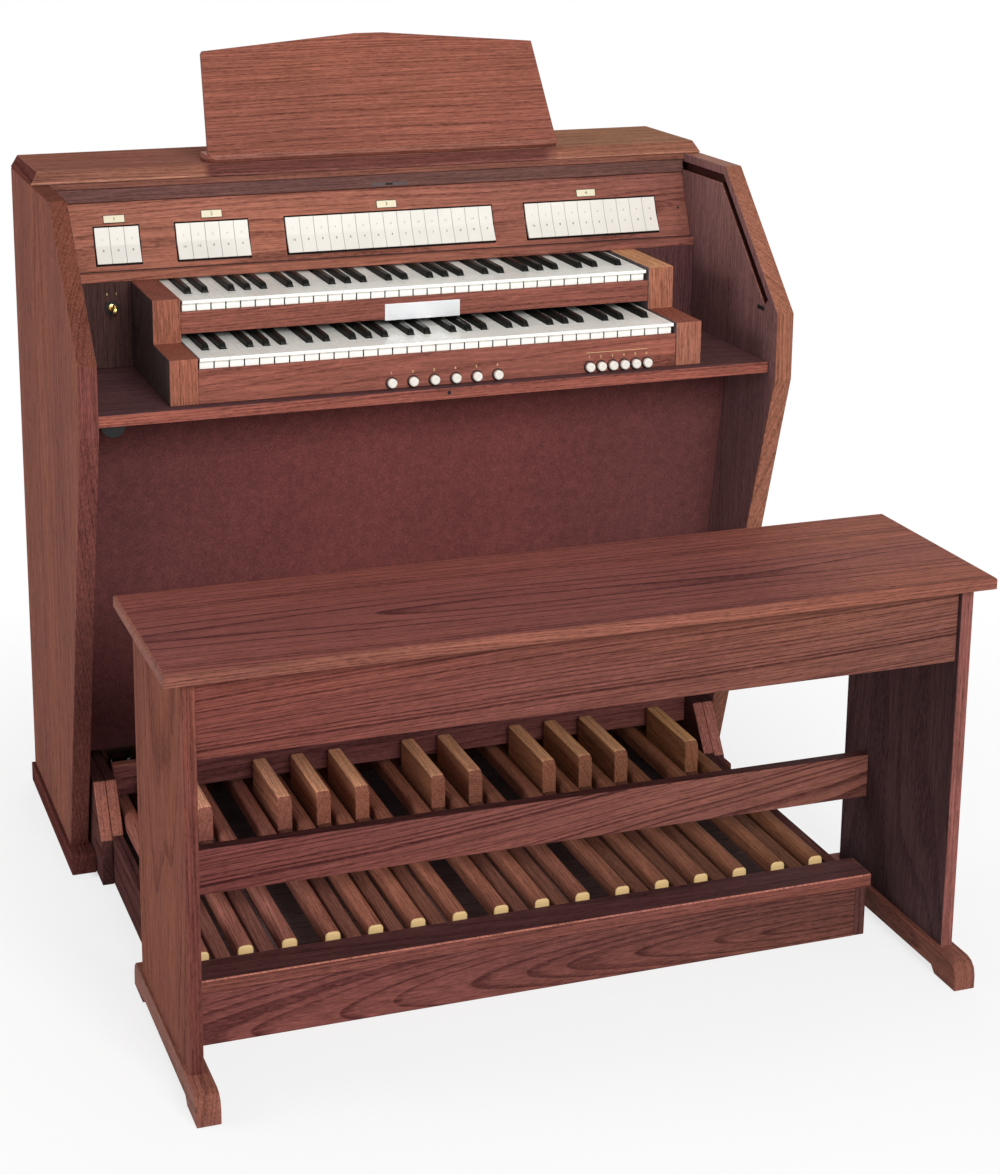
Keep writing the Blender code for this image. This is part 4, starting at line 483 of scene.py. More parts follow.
    # Painted light and shade, board by board: lighter where more light falls, darker where the board lies in shade
    light_sweeps = {
        "oak_lid": [("X", (-0.40, (1.08, 1.34, 1.42)), (0.45, (1.27, 1.95, 1.85)))],
        "oak_lid_nose_shade_and_highlight": [
            ("X", (shade_left - 0.010, bare), (shade_left + 0.004, shaded_nose), (shade_right - 0.030, shaded_nose),
             (shade_right, bare)),
            # A painted highlight along the nose's lower front arris
            ("Z", (1.0940, (1.7, 1.9, 1.9)), (1.0972, (1.7, 1.9, 1.9)), (1.0985, (1.0, 1.0, 1.0)),
             (1.1143, (1.0, 1.0, 1.0)))],
        # A painted highlight along the top of the desk's ledge
        "oak_desk_ledge_shade_and_highlight": [("Z", (1.1146, (1.0, 1.0, 1.0)), (1.1190, (1.0, 1.0, 1.0)), (1.1206, (1.9, 2.5, 2.7)),
                            (1.1280, (1.9, 2.5, 2.7)))],
        "oak_stop_panel": [("X", (-0.40, (1.36, 1.55, 1.50)), (0.45, (0.90, 1.02, 1.20)))],
        "oak_lead_rail_shade": [("X", (-0.40, (1.20, 1.16, 1.14)), (0.20, (1.00, 1.00, 1.00)))],
        "oak_setback_shade": [("X", (-0.40, (0.24, 0.37, 0.50)), (0.45, (0.36, 0.45, 0.66)))],
        "oak_cheek_face": [("X", (-0.40, (0.93, 0.93, 0.93)), (0.45, (1.10, 1.18, 1.18)))],
        "oak_side_edge_foot_shade": [("Z", (0.45, (0.92, 0.88, 0.92)), (0.88, (1.15, 1.05, 1.02)))],
        "oak_frame": [("X", (-0.40, (1.13, 0.98, 1.05)), (0.36, (0.74, 0.74, 0.76)))],
        "oak_bench_seat": [("X", (-0.40, (1.04, 1.02, 1.00)), (0.00, (1.00, 1.00, 1.00)), (0.25, (0.88, 0.90, 0.93)),
                            (0.45, (1.28, 1.40, 1.18)))],
        "oak_bench_apron": [("X", (-0.40, (0.92, 0.81, 0.84)), (0.45, (0.97, 1.08, 1.02)))],
        "oak_bench_stretcher": [("X", (-0.40, (0.90, 0.82, 0.85)), (0.36, (1.00, 1.14, 1.07)))],
        "oak_bench_leg_left_front_shade": [("Z", (0.35, (0.97, 0.96, 0.94)), (0.56, (1.30, 1.32, 1.16)))],
    }
    for name, (grain, heart, tilt, spacing, tone, *strengths) in boards.items():
        sheen = 0.0 if name in seen_edge_on else 0.03
        FINISHES[name] = oak(name, grain, heart, tilt, spacing, tone, *strengths, roughness=rough, sheen=sheen,
                             light_sweeps=light_sweeps.get(name, ()))
    bar = (tuple(wood.pedal), tuple(wood.pedal_grain))
    # Painted shade on the pedals, darker towards the right
    painted_pedal_shade = [("X", (-0.40, (0.84, 0.69, 0.86)), (0.45, (0.56, 0.51, 0.49)))]
    for name, tone in (("pedal_wood", bar), ("pedal_low_wood", shaded(bar, 0.60, 0.63, 0.66)),
                       ("pedal_block_side", shaded(bar, 1.40, 1.48, 1.30)),
                       # The blocks' tops lighter as a painted highlight
                       ("pedal_block_top_highlight", shaded(bar, 3.00, 3.80, 3.30)),
                       ("pedal_block_end", shaded(bar, 1.30, 1.30, 1.30))):
        FINISHES[name] = oak(name, "Y", (0.02, 0, 0.02), (0.8, 1.2), gap * 0.5, tone, 0.7, roughness=rough,
                             light_sweeps=painted_pedal_shade)
    keys = scene.organ_keys
    ivory, ebony = tuple(keys.ivory), tuple(keys.ebony)
    tab, plate = tuple(scene.organ_stops.tab), tuple(scene.organ_stops.plate)
    cloth = scene.organ_cloth
    FINISHES["natural_plastic"] = plain_finish("natural_plastic", ivory, 0.28, 0.35, mottle=0.03)
    FINISHES["sharp_plastic"] = plain_finish("sharp_plastic", ebony, 0.34, 0.08, mottle=0.2)
    FINISHES["tab_plastic"] = plain_finish("tab_plastic", tab, 0.38, 0.3, mottle=0.03)
    FINISHES["plate_cream"] = plain_finish("plate_cream", plate, 0.45, 0.3, mottle=0.05)
    FINISHES["plate_silver"] = plain_finish("plate_silver", (0.72, 0.73, 0.74), 0.35, 0.5, 0.35)
    FINISHES["mark_black"] = plain_finish("mark_black", (0.035, 0.033, 0.035), 0.6, 0.2)
    FINISHES["mark_tan"] = plain_finish("mark_tan", (0.42, 0.33, 0.24), 0.6, 0.2)
    FINISHES["mark_gold"] = plain_finish("mark_gold", (0.74, 0.56, 0.26), 0.45, 0.5, 0.3)
    # Black for seams, rims and the groove hooks, and painted shade where it fills openings, holes, gaps and a joint
    FINISHES["black_and_painted_shade"] = plain_finish("black_and_painted_shade", (0.010, 0.009, 0.010), 0.55, 0.2)
    FINISHES["brass"] = plain_finish("brass", (0.70, 0.47, 0.16), 0.26, 0.5, 1.0)
    FINISHES["black_metal"] = plain_finish("black_metal", (0.016, 0.016, 0.017), 0.45, 0.4, 0.3)
    FINISHES["lock_metal"] = plain_finish("lock_metal", (0.085, 0.060, 0.062), 0.50, 0.3, 0.2)
    FINISHES["steel"] = plain_finish("steel", (0.46, 0.45, 0.44), 0.34, 0.5, 1.0)
    FINISHES["grey_metal"] = plain_finish("grey_metal", (0.40, 0.41, 0.42), 0.42, 0.5, 0.9)
    FINISHES["felt"] = plain_finish("felt", (0.020, 0.013, 0.013), 0.95, 0.1, strength=0.5)
    FINISHES["hardboard"] = plain_finish("hardboard", (0.150, 0.080, 0.045), 0.8, 0.2, mottle=0.10,
                                         cloud=42.0, grain=420.0, strength=0.25)
    FINISHES["speaker_cloth"] = speaker_cloth_finish(tuple(cloth.colour), cloth.thread_pitch)
    FINISHES["pedal_end"] = end_grain_finish(tuple(wood.pedal_end))


# Tools for making pieces

def finish_piece(work, name, body, finishes, pick=None, replaces=(), smooth=False):
    """Turn a finished bmesh into a piece that rides on its body."""
    if pick:
        for face in work.faces:
            face.material_index = pick(face.calc_center_median(), face.normal)
    mesh = bpy.data.meshes.new(name)
    work.to_mesh(mesh)
    work.free()
    for finish in finishes:
        mesh.materials.append(finish_named(finish))
    if smooth:
        mesh.shade_smooth()
        mesh.set_sharp_from_angle(angle=math.radians(40))
    piece = bpy.data.objects.new(name, mesh)
    bpy.context.scene.collection.objects.link(piece)
    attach(piece, body)
    if replaces:
        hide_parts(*replaces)
    return piece


def ease_edges(work, width, shortest=0.0, segments=2, edges=None, wanted=None):
    """Round every sharp edge that is long enough, or only those whose middle is wanted."""
    sharp = []
    for edge in edges or work.edges:
        if len(edge.link_faces) != 2 or edge.calc_length() < shortest:
            continue
        if wanted and not wanted((edge.verts[0].co + edge.verts[1].co) / 2):
            continue
        if edge.calc_face_angle(0.0) > math.radians(28):
            sharp.append(edge)
    bmesh.ops.bevel(work, geom=sharp, offset=width, segments=segments, profile=0.5, affect="EDGES")


def eased_copy(node, width, shortest=0.012, wide=0.0, wanted=None):
    """A copy of a CAD node with its flat faces made whole and its long edges rounded.

    The wanted edges are rounded to the wide width before the others.
    """
    work = bmesh.new()
    work.from_mesh(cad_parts[node].data)
    bmesh.ops.remove_doubles(work, verts=work.verts[:], dist=1e-5)
    bmesh.ops.dissolve_limit(work, angle_limit=math.radians(0.6), verts=work.verts[:], edges=work.edges[:])
    if wanted:
        ease_edges(work, wide, 0.10, 3, wanted=wanted)
    ease_edges(work, width, shortest)
    work.normal_update()
    return work


def lower(work, above, below, drop):
    """Let down the corners that lie between two heights."""
    bmesh.ops.translate(work, vec=(0, 0, -drop), verts=[v for v in work.verts if above < v.co.z < below])
    work.normal_update()


def loft(work, rings):
    """A closed body through rings that have as many points each; returns its edges."""
    levels = [[work.verts.new(point) for point in ring] for ring in rings]
    count = len(levels[0])
    faces = []
    for low, high in zip(levels, levels[1:]):
        for here in range(count):
            after = (here + 1) % count
            faces.append(work.faces.new((low[here], low[after], high[after], high[here])))
    faces.append(work.faces.new(list(reversed(levels[0]))))
    faces.append(work.faces.new(levels[-1]))
    bmesh.ops.recalc_face_normals(work, faces=faces)
    return list({edge for face in faces for edge in face.edges})


def eased_loft(work, rings, width, segments=2):
    ease_edges(work, width, segments=segments, edges=loft(work, rings))


def eased_box(work, low, high, width, segments=2):
    """A block between two corners with every edge rounded."""
    corners = [(low[0], low[1]), (high[0], low[1]), (high[0], high[1]), (low[0], high[1])]
    rings = [[(x, y, z) for x, y in corners] for z in (low[2], high[2])]
    eased_loft(work, rings, width, segments)


def console_block(work, xs, depths, heights, width, segments=2):
    """An eased block given in the console's widths, depths and heights."""
    first = at(min(xs), max(depths), min(heights))
    second = at(max(xs), min(depths), max(heights))
    eased_box(work, first, second, width, segments)


def console_prism(work, outline, xs, width, segments=2):
    """An outline of (depth, height) points run across between two widths, and eased."""
    rings = [[at(x, depth, height) for depth, height in outline] for x in xs]
    eased_loft(work, rings, width, segments)


def arc(centre, radius, start, end, steps):
    angles = [math.radians(start + (end - start) * step / steps) for step in range(steps + 1)]
    return [(centre[0] + radius * math.cos(a), centre[1] + radius * math.sin(a)) for a in angles]


def lathe(work, centre, axis, profile, steps=28):
    """A turned body from (distance along the axis, radius) pairs."""
    axis = Vector(axis).normalized()
    side = axis.orthogonal().normalized()
    other = axis.cross(side)
    rings = []
    for distance, radius in profile:
        ring = []
        for step in range(steps):
            angle = 2 * math.pi * step / steps
            offset = side * math.cos(angle) + other * math.sin(angle)
            ring.append(Vector(centre) + axis * distance + offset * radius)
        rings.append(ring)
    loft(work, rings)


def ring_band(work, centre, axis, inner, outer, thickness, steps=36, ease=0.0003):
    """A flat ring with eased rims, standing along its axis from its centre."""
    axis = Vector(axis).normalized()
    side = axis.orthogonal().normalized()
    other = axis.cross(side)
    section = [(0, inner), (thickness - ease, inner), (thickness, inner + ease),
               (thickness, outer - ease), (thickness - ease, outer), (0, outer)]
    loops = []
    for step in range(steps):
        angle = 2 * math.pi * step / steps
        offset = side * math.cos(angle) + other * math.sin(angle)
        loops.append([work.verts.new(Vector(centre) + axis * d + offset * r) for d, r in section])
    faces = []
    for here in range(steps):
        now, after = loops[here], loops[(here + 1) % steps]
        for index in range(len(section)):
            following = (index + 1) % len(section)
            faces.append(work.faces.new((now[index], after[index], after[following], now[following])))
    bmesh.ops.recalc_face_normals(work, faces=faces)


def row_tree():
    """The node tree that repeats a piece along a line, made once."""
    found = bpy.data.node_groups.get("row_of_pieces")
    if found:
        return found
    tree = bpy.data.node_groups.new("row_of_pieces", "GeometryNodeTree")
    sockets = (
        ("Piece", "NodeSocketGeometry"),
        ("Count", "NodeSocketInt"),
        ("Start", "NodeSocketVector"),
        ("Step", "NodeSocketVector"),
        ("Finish", "NodeSocketMaterial"),
    )
    for name, kind in sockets:
        tree.interface.new_socket(name, in_out="INPUT", socket_type=kind)
    tree.interface.new_socket("Row", in_out="OUTPUT", socket_type="NodeSocketGeometry")
    source = tree.nodes.new("NodeGroupInput")
    line = tree.nodes.new("GeometryNodeMeshLine")
    line.mode = "OFFSET"
    copies = tree.nodes.new("GeometryNodeInstanceOnPoints")
    whole = tree.nodes.new("GeometryNodeRealizeInstances")
    paint = tree.nodes.new("GeometryNodeSetMaterial")
    result = tree.nodes.new("NodeGroupOutput")
    link = tree.links.new
    link(source.outputs["Count"], line.inputs["Count"])
    link(source.outputs["Start"], line.inputs["Start Location"])
    link(source.outputs["Step"], line.inputs["Offset"])
    link(line.outputs["Mesh"], copies.inputs["Points"])
    link(source.outputs["Piece"], copies.inputs["Instance"])
    link(copies.outputs["Instances"], whole.inputs["Geometry"])
    link(whole.outputs["Geometry"], paint.inputs["Geometry"])
    link(source.outputs["Finish"], paint.inputs["Material"])
    link(paint.outputs["Geometry"], result.inputs["Row"])
    return tree


def row_mesh(name, work, count, start, step, finish):
    """Repeat what a bmesh holds along a line, and return the result as a plain mesh."""
    pattern = bpy.data.meshes.new(name)
    work.to_mesh(pattern)
    work.free()
    holder = bpy.data.objects.new(name, pattern)
    bpy.context.scene.collection.objects.link(holder)
    tree = row_tree()
    values = {"Count": count, "Start": start, "Step": step, "Finish": finish_named(finish)}
    modifier = holder.modifiers.new("row", "NODES")
    modifier.node_group = tree
    for socket in tree.interface.items_tree:
        if socket.name in values:
            modifier[socket.identifier] = values[socket.name]
    seen = holder.evaluated_get(bpy.context.evaluated_depsgraph_get())
    mesh = bpy.data.meshes.new_from_object(seen)
    bpy.data.objects.remove(holder, do_unlink=True)
    return mesh


def row_piece(name, work, count, start, step, finish, body, replaces=(), smooth=False):
    """A row of like parts as one piece that rides on its body."""
    mesh = row_mesh(name, work, count, start, step, finish)
    if smooth:
        mesh.shade_smooth()
        mesh.set_sharp_from_angle(angle=math.radians(40))
    piece = bpy.data.objects.new(name, mesh)
    bpy.context.scene.collection.objects.link(piece)
    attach(piece, body)
    if replaces:
        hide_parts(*replaces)
    return piece


def add_number(work, text, size, place, right, up, thickness=0.00012):
    """A plain number set on a plane, centred on a point."""
    curve = bpy.data.curves.new("number", "FONT")
    curve.body = text
    curve.size = size
    curve.align_x = "CENTER"
    curve.align_y = "CENTER"
    curve.resolution_u = 2
    curve.extrude = thickness
    holder = bpy.data.objects.new("number", curve)
    bpy.context.scene.collection.objects.link(holder)
    seen = holder.evaluated_get(bpy.context.evaluated_depsgraph_get())
    mesh = bpy.data.meshes.new_from_object(seen)
    out = Vector(right).cross(Vector(up))
    turn = Matrix((Vector(right), Vector(up), out)).transposed().to_4x4()
    mesh.transform(Matrix.Translation(Vector(place)) @ turn)
    work.from_mesh(mesh)
    bpy.data.objects.remove(holder, do_unlink=True)
    bpy.data.meshes.remove(mesh)


# Places on the slanting surfaces

def on_panel(x, outward, up):
    """A point on the stop panel, out of its face and up along it from the tabs' middle."""
    depth = TAB_MIDDLE[0] + outward * math.cos(PANEL_LEAN) - up * math.sin(PANEL_LEAN)
    height = TAB_MIDDLE[1] + outward * math.sin(PANEL_LEAN) + up * math.cos(PANEL_LEAN)
    return at(x, depth, height)


def panel_outward(point):
    """How far a point stands out of the stop panel's face."""
    depth = BACK_Y - point.y - TAB_MIDDLE[0]
    height = point.z - TAB_MIDDLE[1]
    return depth * math.cos(PANEL_LEAN) + height * math.sin(PANEL_LEAN)


def on_desk(x, outward, up):
    depth = DESK_FOOT[0] + outward * math.cos(DESK_LEAN) - up * math.sin(DESK_LEAN)
    height = DESK_FOOT[1] + outward * math.sin(DESK_LEAN) + up * math.cos(DESK_LEAN)
    return at(DESK_X + x, depth, height)


def panel_block(work, xs, outwards, ups, width, segments=1):
    """An eased block that lies on the stop panel."""
    corners = [(outwards[0], ups[0]), (outwards[1], ups[0]), (outwards[1], ups[1]), (outwards[0], ups[1])]
    rings = [[on_panel(x, outward, up) for outward, up in corners] for x in xs]
    eased_loft(work, rings, width, segments)


# Console wood

def make_side_panels():
    for side, node, finish in ((-1, "left_side_panel", "oak_side_left"), (1, "right_side_panel", "oak_side_right")):
        inner = CENTRE_X + side * INSIDE_HALF

        # Painted light and shade by face: plinth, groove, inner face and the left panel's front edges darker, the
        # right panel's front edge lighter
        def pick(centre, normal, side=side, inner=inner):
            into_wood = abs(centre.x - inner)
            if centre.z < 0.0340:
                return 2
            if 0.0015 < into_wood < 0.0096 and centre.z > 0.86 and abs(centre.x) < abs(inner) + 0.012:
                return 3
            if normal.y < -0.35 or normal.z > 0.6:
                if side > 0:
                    return 1
                return 5 if centre.z > 0.86 else 6
            return 4 if into_wood < 0.0015 and abs(normal.x) > 0.9 else 0

        finish_piece(eased_copy(node, 0.0014), f"{node}_wood", "console",
                     [finish, "oak_side_edge", "oak_plinth", "oak_groove_shade", "oak_side_inner_shade",
                      "oak_side_edge_left_shade", "oak_side_edge_foot_shade"], pick, [node])
        hook = bmesh.new()
        console_block(hook, (side * (INSIDE_HALF - 0.0008), side * (INSIDE_HALF + 0.0002)), (0.497, 0.520),
                      (0.8805, 0.8872), 0.0004)
        finish_piece(hook, f"{node}_groove_hook", "console", ["black_and_painted_shade"])


def make_lid():
    """The lid, with slopes over nearly its whole thickness at the front and the ends."""
    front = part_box("lid")[0].y
    under = 1.0941

    # Front faces take the nose finish with its painted shade, painted shadow and painted highlight; the batten's is
    # in painted shade
    def pick(centre, normal):
        if normal.z > 0.9:
            return 0
        if centre.z < under - 0.0005:
            return 2
        return 3 if abs(normal.x) > 0.6 or normal.y > 0.6 else 1

    def is_front_top(middle):
        return middle.y < front + 0.012 and middle.z > LID_TOP - 0.002

    work = eased_copy("lid", 0.0012, wide=0.0018, wanted=is_front_top)
    lower(work, under + 0.0070, under + 0.0110, 0.0064)
    finish_piece(work, "lid_wood", "console",
                 ["oak_lid", "oak_lid_nose_shade_and_highlight", "oak_lid_batten", "oak_lid_end"], pick, ["lid"])


def make_roll_top():
    low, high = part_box("roll_top")
    rail_front = BACK_Y - low.y
    rail_rear = rail_front - 0.014
    canvas, canvas_top = 1.06505, 1.06705
    half = INSIDE_HALF - 0.0006
    work = bmesh.new()
    console_block(work, (-half, half), (rail_rear, rail_front), (low.z, high.z), 0.0015)
    console_block(work, (low.x - CENTRE_X, high.x - CENTRE_X), (0.036, rail_rear + 0.002), (canvas, canvas_top),
                  0.0003)
    finish_piece(work, "lead_rail", "roll_top", ["oak_lead_rail_shade"], replaces=["roll_top"])
    slats = 8
    pitch = (rail_rear - 0.036) / slats
    pattern = bmesh.new()
    eased_box(pattern, (low.x, -pitch + 0.0015, 0.0), (high.x, 0.0, 0.0114), 0.0012)
    start = (0, BACK_Y - 0.036, canvas_top)
    row_piece("roll_top_slats", pattern, slats, start, (0, -pitch, 0), "oak_lead_rail_shade", "roll_top")
    plate = bmesh.new()
    for first, last in ((-0.016, 0.009), (0.021, 0.046)):
        console_block(plate, (first, last), (rail_front, rail_front + 0.0005), (1.0640, 1.0700), 0.0002, 1)
    finish_piece(plate, "lead_rail_lock", "roll_top", ["lock_metal"])
    # The keyhole as a black block of painted shade
    hole = bmesh.new()
    console_block(hole, (0.0090, 0.0210), (rail_front - 0.0005, rail_front + 0.0006), (1.0652, 1.0688), 0.0003, 1)
    finish_piece(hole, "lead_rail_keyhole", "roll_top", ["black_and_painted_shade"])


def make_stop_panel():
    def pick(centre, normal):
        outward = panel_outward(centre)
        # The walls of the tabs' openings in black as painted shade
        if -0.0122 < outward < -0.0005 and 0.955 < centre.z < 1.035:
            return 1
        return 0

    def is_top(middle):
        return middle.z > PANEL_TOP - 0.001 and panel_outward(middle) > -0.002

    work = eased_copy("stop_panel", 0.0008, 0.015, 0.0022, is_top)
    finish_piece(work, "stop_panel_wood", "console", ["oak_stop_panel", "black_and_painted_shade"], pick,
                 ["stop_panel"])
    right = Vector((1, 0, 0))
    up = (on_panel(0, 0, 1) - on_panel(0, 0, 0)).normalized()
    rims, plates, figures = bmesh.new(), bmesh.new(), bmesh.new()
    for number, x in (("1", -0.450), ("2", -0.290), ("3", 0.008), ("4", 0.366)):
        panel_block(rims, (x - 0.0176, x + 0.0176), (0.0001, 0.0009), (0.0366, 0.0498), 0.0002)
        panel_block(plates, (x - 0.0168, x + 0.0168), (0.0001, 0.0012), (0.0374, 0.0490), 0.0003)
        add_number(figures, number, 0.0085, on_panel(x, 0.00125, 0.0432), right, up)
    finish_piece(rims, "group_plate_rims", "console", ["black_and_painted_shade"])
    finish_piece(plates, "group_plates", "console", ["plate_cream"])
    finish_piece(figures, "group_numbers", "console", ["mark_black"])
    # A black strip in the joint at the panel's foot as painted shade
    seams = bmesh.new()
    foot, height = PANEL_FOOT
    console_block(seams, (-0.5504, 0.5504), (foot - 0.0006, foot + 0.0011), (height - 0.0006, height + 0.0012),
                  0.0002, 1)
    finish_piece(seams, "stop_panel_joint_shade", "console", ["black_and_painted_shade"])
    # The hole as a black disc of painted shade
    hole = bmesh.new()
    out = (on_panel(0, 1, 0) - on_panel(0, 0, 0)).normalized()
    lathe(hole, on_panel(0.5345, -0.0006, 0.0085), out, [(0, 0.0021), (0.0007, 0.0021)], 16)
    finish_piece(hole, "stop_panel_hole", "console", ["black_and_painted_shade"])


def make_inner_boards():
    finish_piece(eased_copy("setback_board", 0.0008), "setback_board_wood", "console",
                 ["oak_setback_shade"], replaces=["setback_board"])

    def shelf_pick(centre, normal):
        return 1 if normal.y < -0.5 else 0

    finish_piece(eased_copy("shelf", 0.0016), "shelf_wood", "console",
                 ["oak_shelf", "oak_shelf_edge"], shelf_pick, ["shelf"])
    rim = SHELF_FRONT
    plate = bmesh.new()
    console_block(plate, (-0.016, 0.046), (rim - 0.0055, rim - 0.0016), (SHELF_TOP, SHELF_TOP + 0.0006), 0.0002, 1)
    finish_piece(plate, "lock_strike_plate", "console", ["black_metal"])
    # The lock's hole as a black disc of painted shade
    hole = bmesh.new()
    lathe(hole, at(0.002, rim - 0.0004, 0.7930), (0, -1, 0), [(0, 0.0032), (0.0005, 0.0032)], 20)
    finish_piece(hole, "shelf_lock_hole", "console", ["black_and_painted_shade"])
    hook = bmesh.new()
    half_disc = [(x, z) for x, z in arc((-0.5225, SHELF_TOP - 0.0186), 0.0195, 180, 360, 14)]
    rings = [[at(x, depth, z) for x, z in half_disc] for depth in (0.498, 0.530)]
    eased_loft(hook, rings, 0.0012)
    finish_piece(hook, "under_shelf_socket", "console", ["black_metal"], smooth=True)


def make_key_woods():
    lower_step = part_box("lower_naturals")[1].z

    def cheek_pick(centre, normal):
        # Left-facing sides in painted shade, the right cheek's upper top with a painted highlight
        if normal.x < -0.5:
            return 2
        if normal.z > 0.9 and centre.z > 0.92 and centre.x > 0:
            return 3
        return 1 if normal.y < -0.5 else 0

    for node in ("key_cheek_left", "key_cheek_right"):
        finish_piece(eased_copy(node, 0.0012), f"{node}_wood", "console",
                     ["oak_cheek", "oak_cheek_face", "oak_cheek_side_shade", "oak_cheek_top_highlight"], cheek_pick, [node])
    seams = bmesh.new()
    low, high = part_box("key_cheek_left")
    for node in ("key_cheek_left", "key_cheek_right"):
        low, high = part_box(node)
        eased_box(seams, (low.x - 0.0001, low.y + 0.112, lower_step - 0.0004),
                  (high.x + 0.0001, high.y - 0.06, lower_step + 0.0006), 0.0001, 1)
    finish_piece(seams, "cheek_seams", "console", ["black_and_painted_shade"])
    for node in ("middle_rail", "key_slip"):
        finish_piece(eased_copy(node, 0.0008), f"{node}_wood", "console", ["oak_rail"],
                     replaces=[node])
    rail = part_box("middle_rail")
    plate = bmesh.new()
    eased_box(plate, (CENTRE_X - 0.060, rail[0].y - 0.0010, 0.8835), (CENTRE_X + 0.066, rail[0].y, 0.9100),
              0.0004)
    finish_piece(plate, "bare_plate", "console", ["plate_silver"])


# Keys

def natural_left(index):
    return MANUAL_X - MANUAL_HALF + index * KEY_PITCH


def sharp_middles():
    """Middle of each sharp, by the natural on its left."""
    middles = {}
    for index in range(NATURAL_COUNT - 1):
        shift = SHARP_SHIFTS.get(NATURAL_NAMES[index % 7])
        if shift is not None:
            middles[index] = natural_left(index + 1) + shift
    return middles


def natural_plan(index, front, rear):
    """A natural from above: its wide head and its tail between the sharps, forwards being -Y."""
    middles = sharp_middles()
    left = natural_left(index) + KEY_SPACING / 2
    right = natural_left(index + 1) - KEY_SPACING / 2
    tail_left = middles[index - 1] + SHARP_NOTCH if index - 1 in middles else left
    tail_right = middles[index] - SHARP_NOTCH if index in middles else right
    waist = front + HEAD_LENGTH
    points = [(left, front), (right, front)]
    if tail_right != right:
        points += [(right, waist), (tail_right, waist)]
    points += [(tail_right, rear), (tail_left, rear)]
    if tail_left != left:
        points += [(tail_left, waist), (left, waist)]
    return points, (tail_left, tail_right)


def make_naturals(manual, easing):
    node = f"{manual}_naturals"
    low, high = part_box(node)
    front, top = low.y, high.z
    rear = high.y
    bottom = top - NATURAL_THICKNESS
    work = bmesh.new()
    for index in range(NATURAL_COUNT):
        plan, tail = natural_plan(index, front, rear - 0.001)
        slab = [[(x, y, z) for x, y in plan] for z in (top - LIP_THICKNESS, top)]
        eased_loft(work, slab, easing)
        waist = front + HEAD_LENGTH
        core = (tail[0] + 0.0004, waist - 0.004, bottom), (tail[1] - 0.0004, rear - 0.001, top - LIP_THICKNESS)
        eased_box(work, *core, 0.0002, 1)
    bar = (MANUAL_X - MANUAL_HALF, rear - 0.014, low.z + 0.0), (MANUAL_X + MANUAL_HALF, rear, bottom)
    eased_box(work, (bar[0][0], bar[0][1], bottom - 0.0133), bar[1], 0.0004, 1)
    finish_piece(work, f"{manual}_natural_keys", node, ["natural_plastic"], replaces=[node])
    start = (natural_left(0), front + LIP_OVERHANG, top - NATURAL_DROP)
    height = NATURAL_DROP - LIP_THICKNESS
    # Black blocks behind the thin key fronts stand for the shade in the gaps between the naturals: painted shade
    plates, shade_blocks = bmesh.new(), bmesh.new()
    eased_box(plates, (KEY_PLATE_MARGIN, 0, 0), (KEY_PITCH - KEY_PLATE_MARGIN, KEY_PLATE_DEPTH, height), 0.0004)
    eased_box(shade_blocks, (KEY_SPACING, KEY_PLATE_DEPTH, 0.0004),
              (KEY_PITCH - KEY_SPACING, HEAD_LENGTH - LIP_OVERHANG, height), 0.0004, 1)
    row_piece(f"{manual}_key_fronts", plates, NATURAL_COUNT, start, (KEY_PITCH, 0, 0), "natural_plastic",
              node)
    row_piece(f"{manual}_key_shade_blocks", shade_blocks, NATURAL_COUNT, start, (KEY_PITCH, 0, 0), "black_and_painted_shade",
              node)


def sharp_ring(middle, y, foot, crest, half, shoulder):
    """A section of a sharp: sides that lean in a little, and a rounded top."""
    top_half = half - 0.0009
    right = arc((top_half - shoulder, crest - shoulder), shoulder, 0, 90, 3)
    left = arc((-top_half + shoulder, crest - shoulder), shoulder, 90, 180, 3)
    points = [(-half, foot), (half, foot), *right, *left]
    return [(middle + x, y, z) for x, z in points]


def make_sharps(manual, front, top, heel_rise):
    """The sharps of a manual: raised blocks with sloped noses, on their low tails.

    Where the heel is lower than the crest, the top slopes down to it under the wood behind.
    """
    node = f"{manual}_sharps"
    low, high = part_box(node)
    nose = front + HEAD_LENGTH + SHARP_END_CLEARANCE
    heel = front + VISIBLE_LENGTH - SHARP_END_CLEARANCE
    foot = top - NATURAL_THICKNESS
    half = SHARP_WIDTH / 2
    steps = ((0.0, 0.0010), (0.0010, 0.0036), (0.0036, 0.0068), (0.0062, 0.0084), (0.0095, SHARP_HEIGHT))
    work = bmesh.new()
    for middle in sharp_middles().values():
        rings = []
        for run, rise in steps:
            shoulder = min(0.0018, 0.0006 + rise * 0.15)
            rings.append(sharp_ring(middle, nose + run, foot, top + rise, half, shoulder))
        if heel_rise < SHARP_HEIGHT:
            rings.append(sharp_ring(middle, heel - SHARP_HEEL_SLOPE, foot, top + SHARP_HEIGHT, half, 0.0018))
        rings.append(sharp_ring(middle, heel, foot, top + heel_rise, half, 0.0018))
        loft(work, rings)
        tail_top = top - SHARP_TAIL_DROP
        eased_box(work, (middle - half, heel - 0.001, tail_top - SHARP_TAIL_THICKNESS),
                  (middle + half, high.y - 0.001, tail_top), 0.0003, 1)
    eased_box(work, (MANUAL_X - MANUAL_HALF, high.y - 0.012, low.z + 0.0002),
              (MANUAL_X + MANUAL_HALF, high.y, low.z + 0.0190), 0.0004, 1)
    finish_piece(work, f"{manual}_sharp_keys", node, ["sharp_plastic"], replaces=[node], smooth=True)


# Stop tabs and pistons

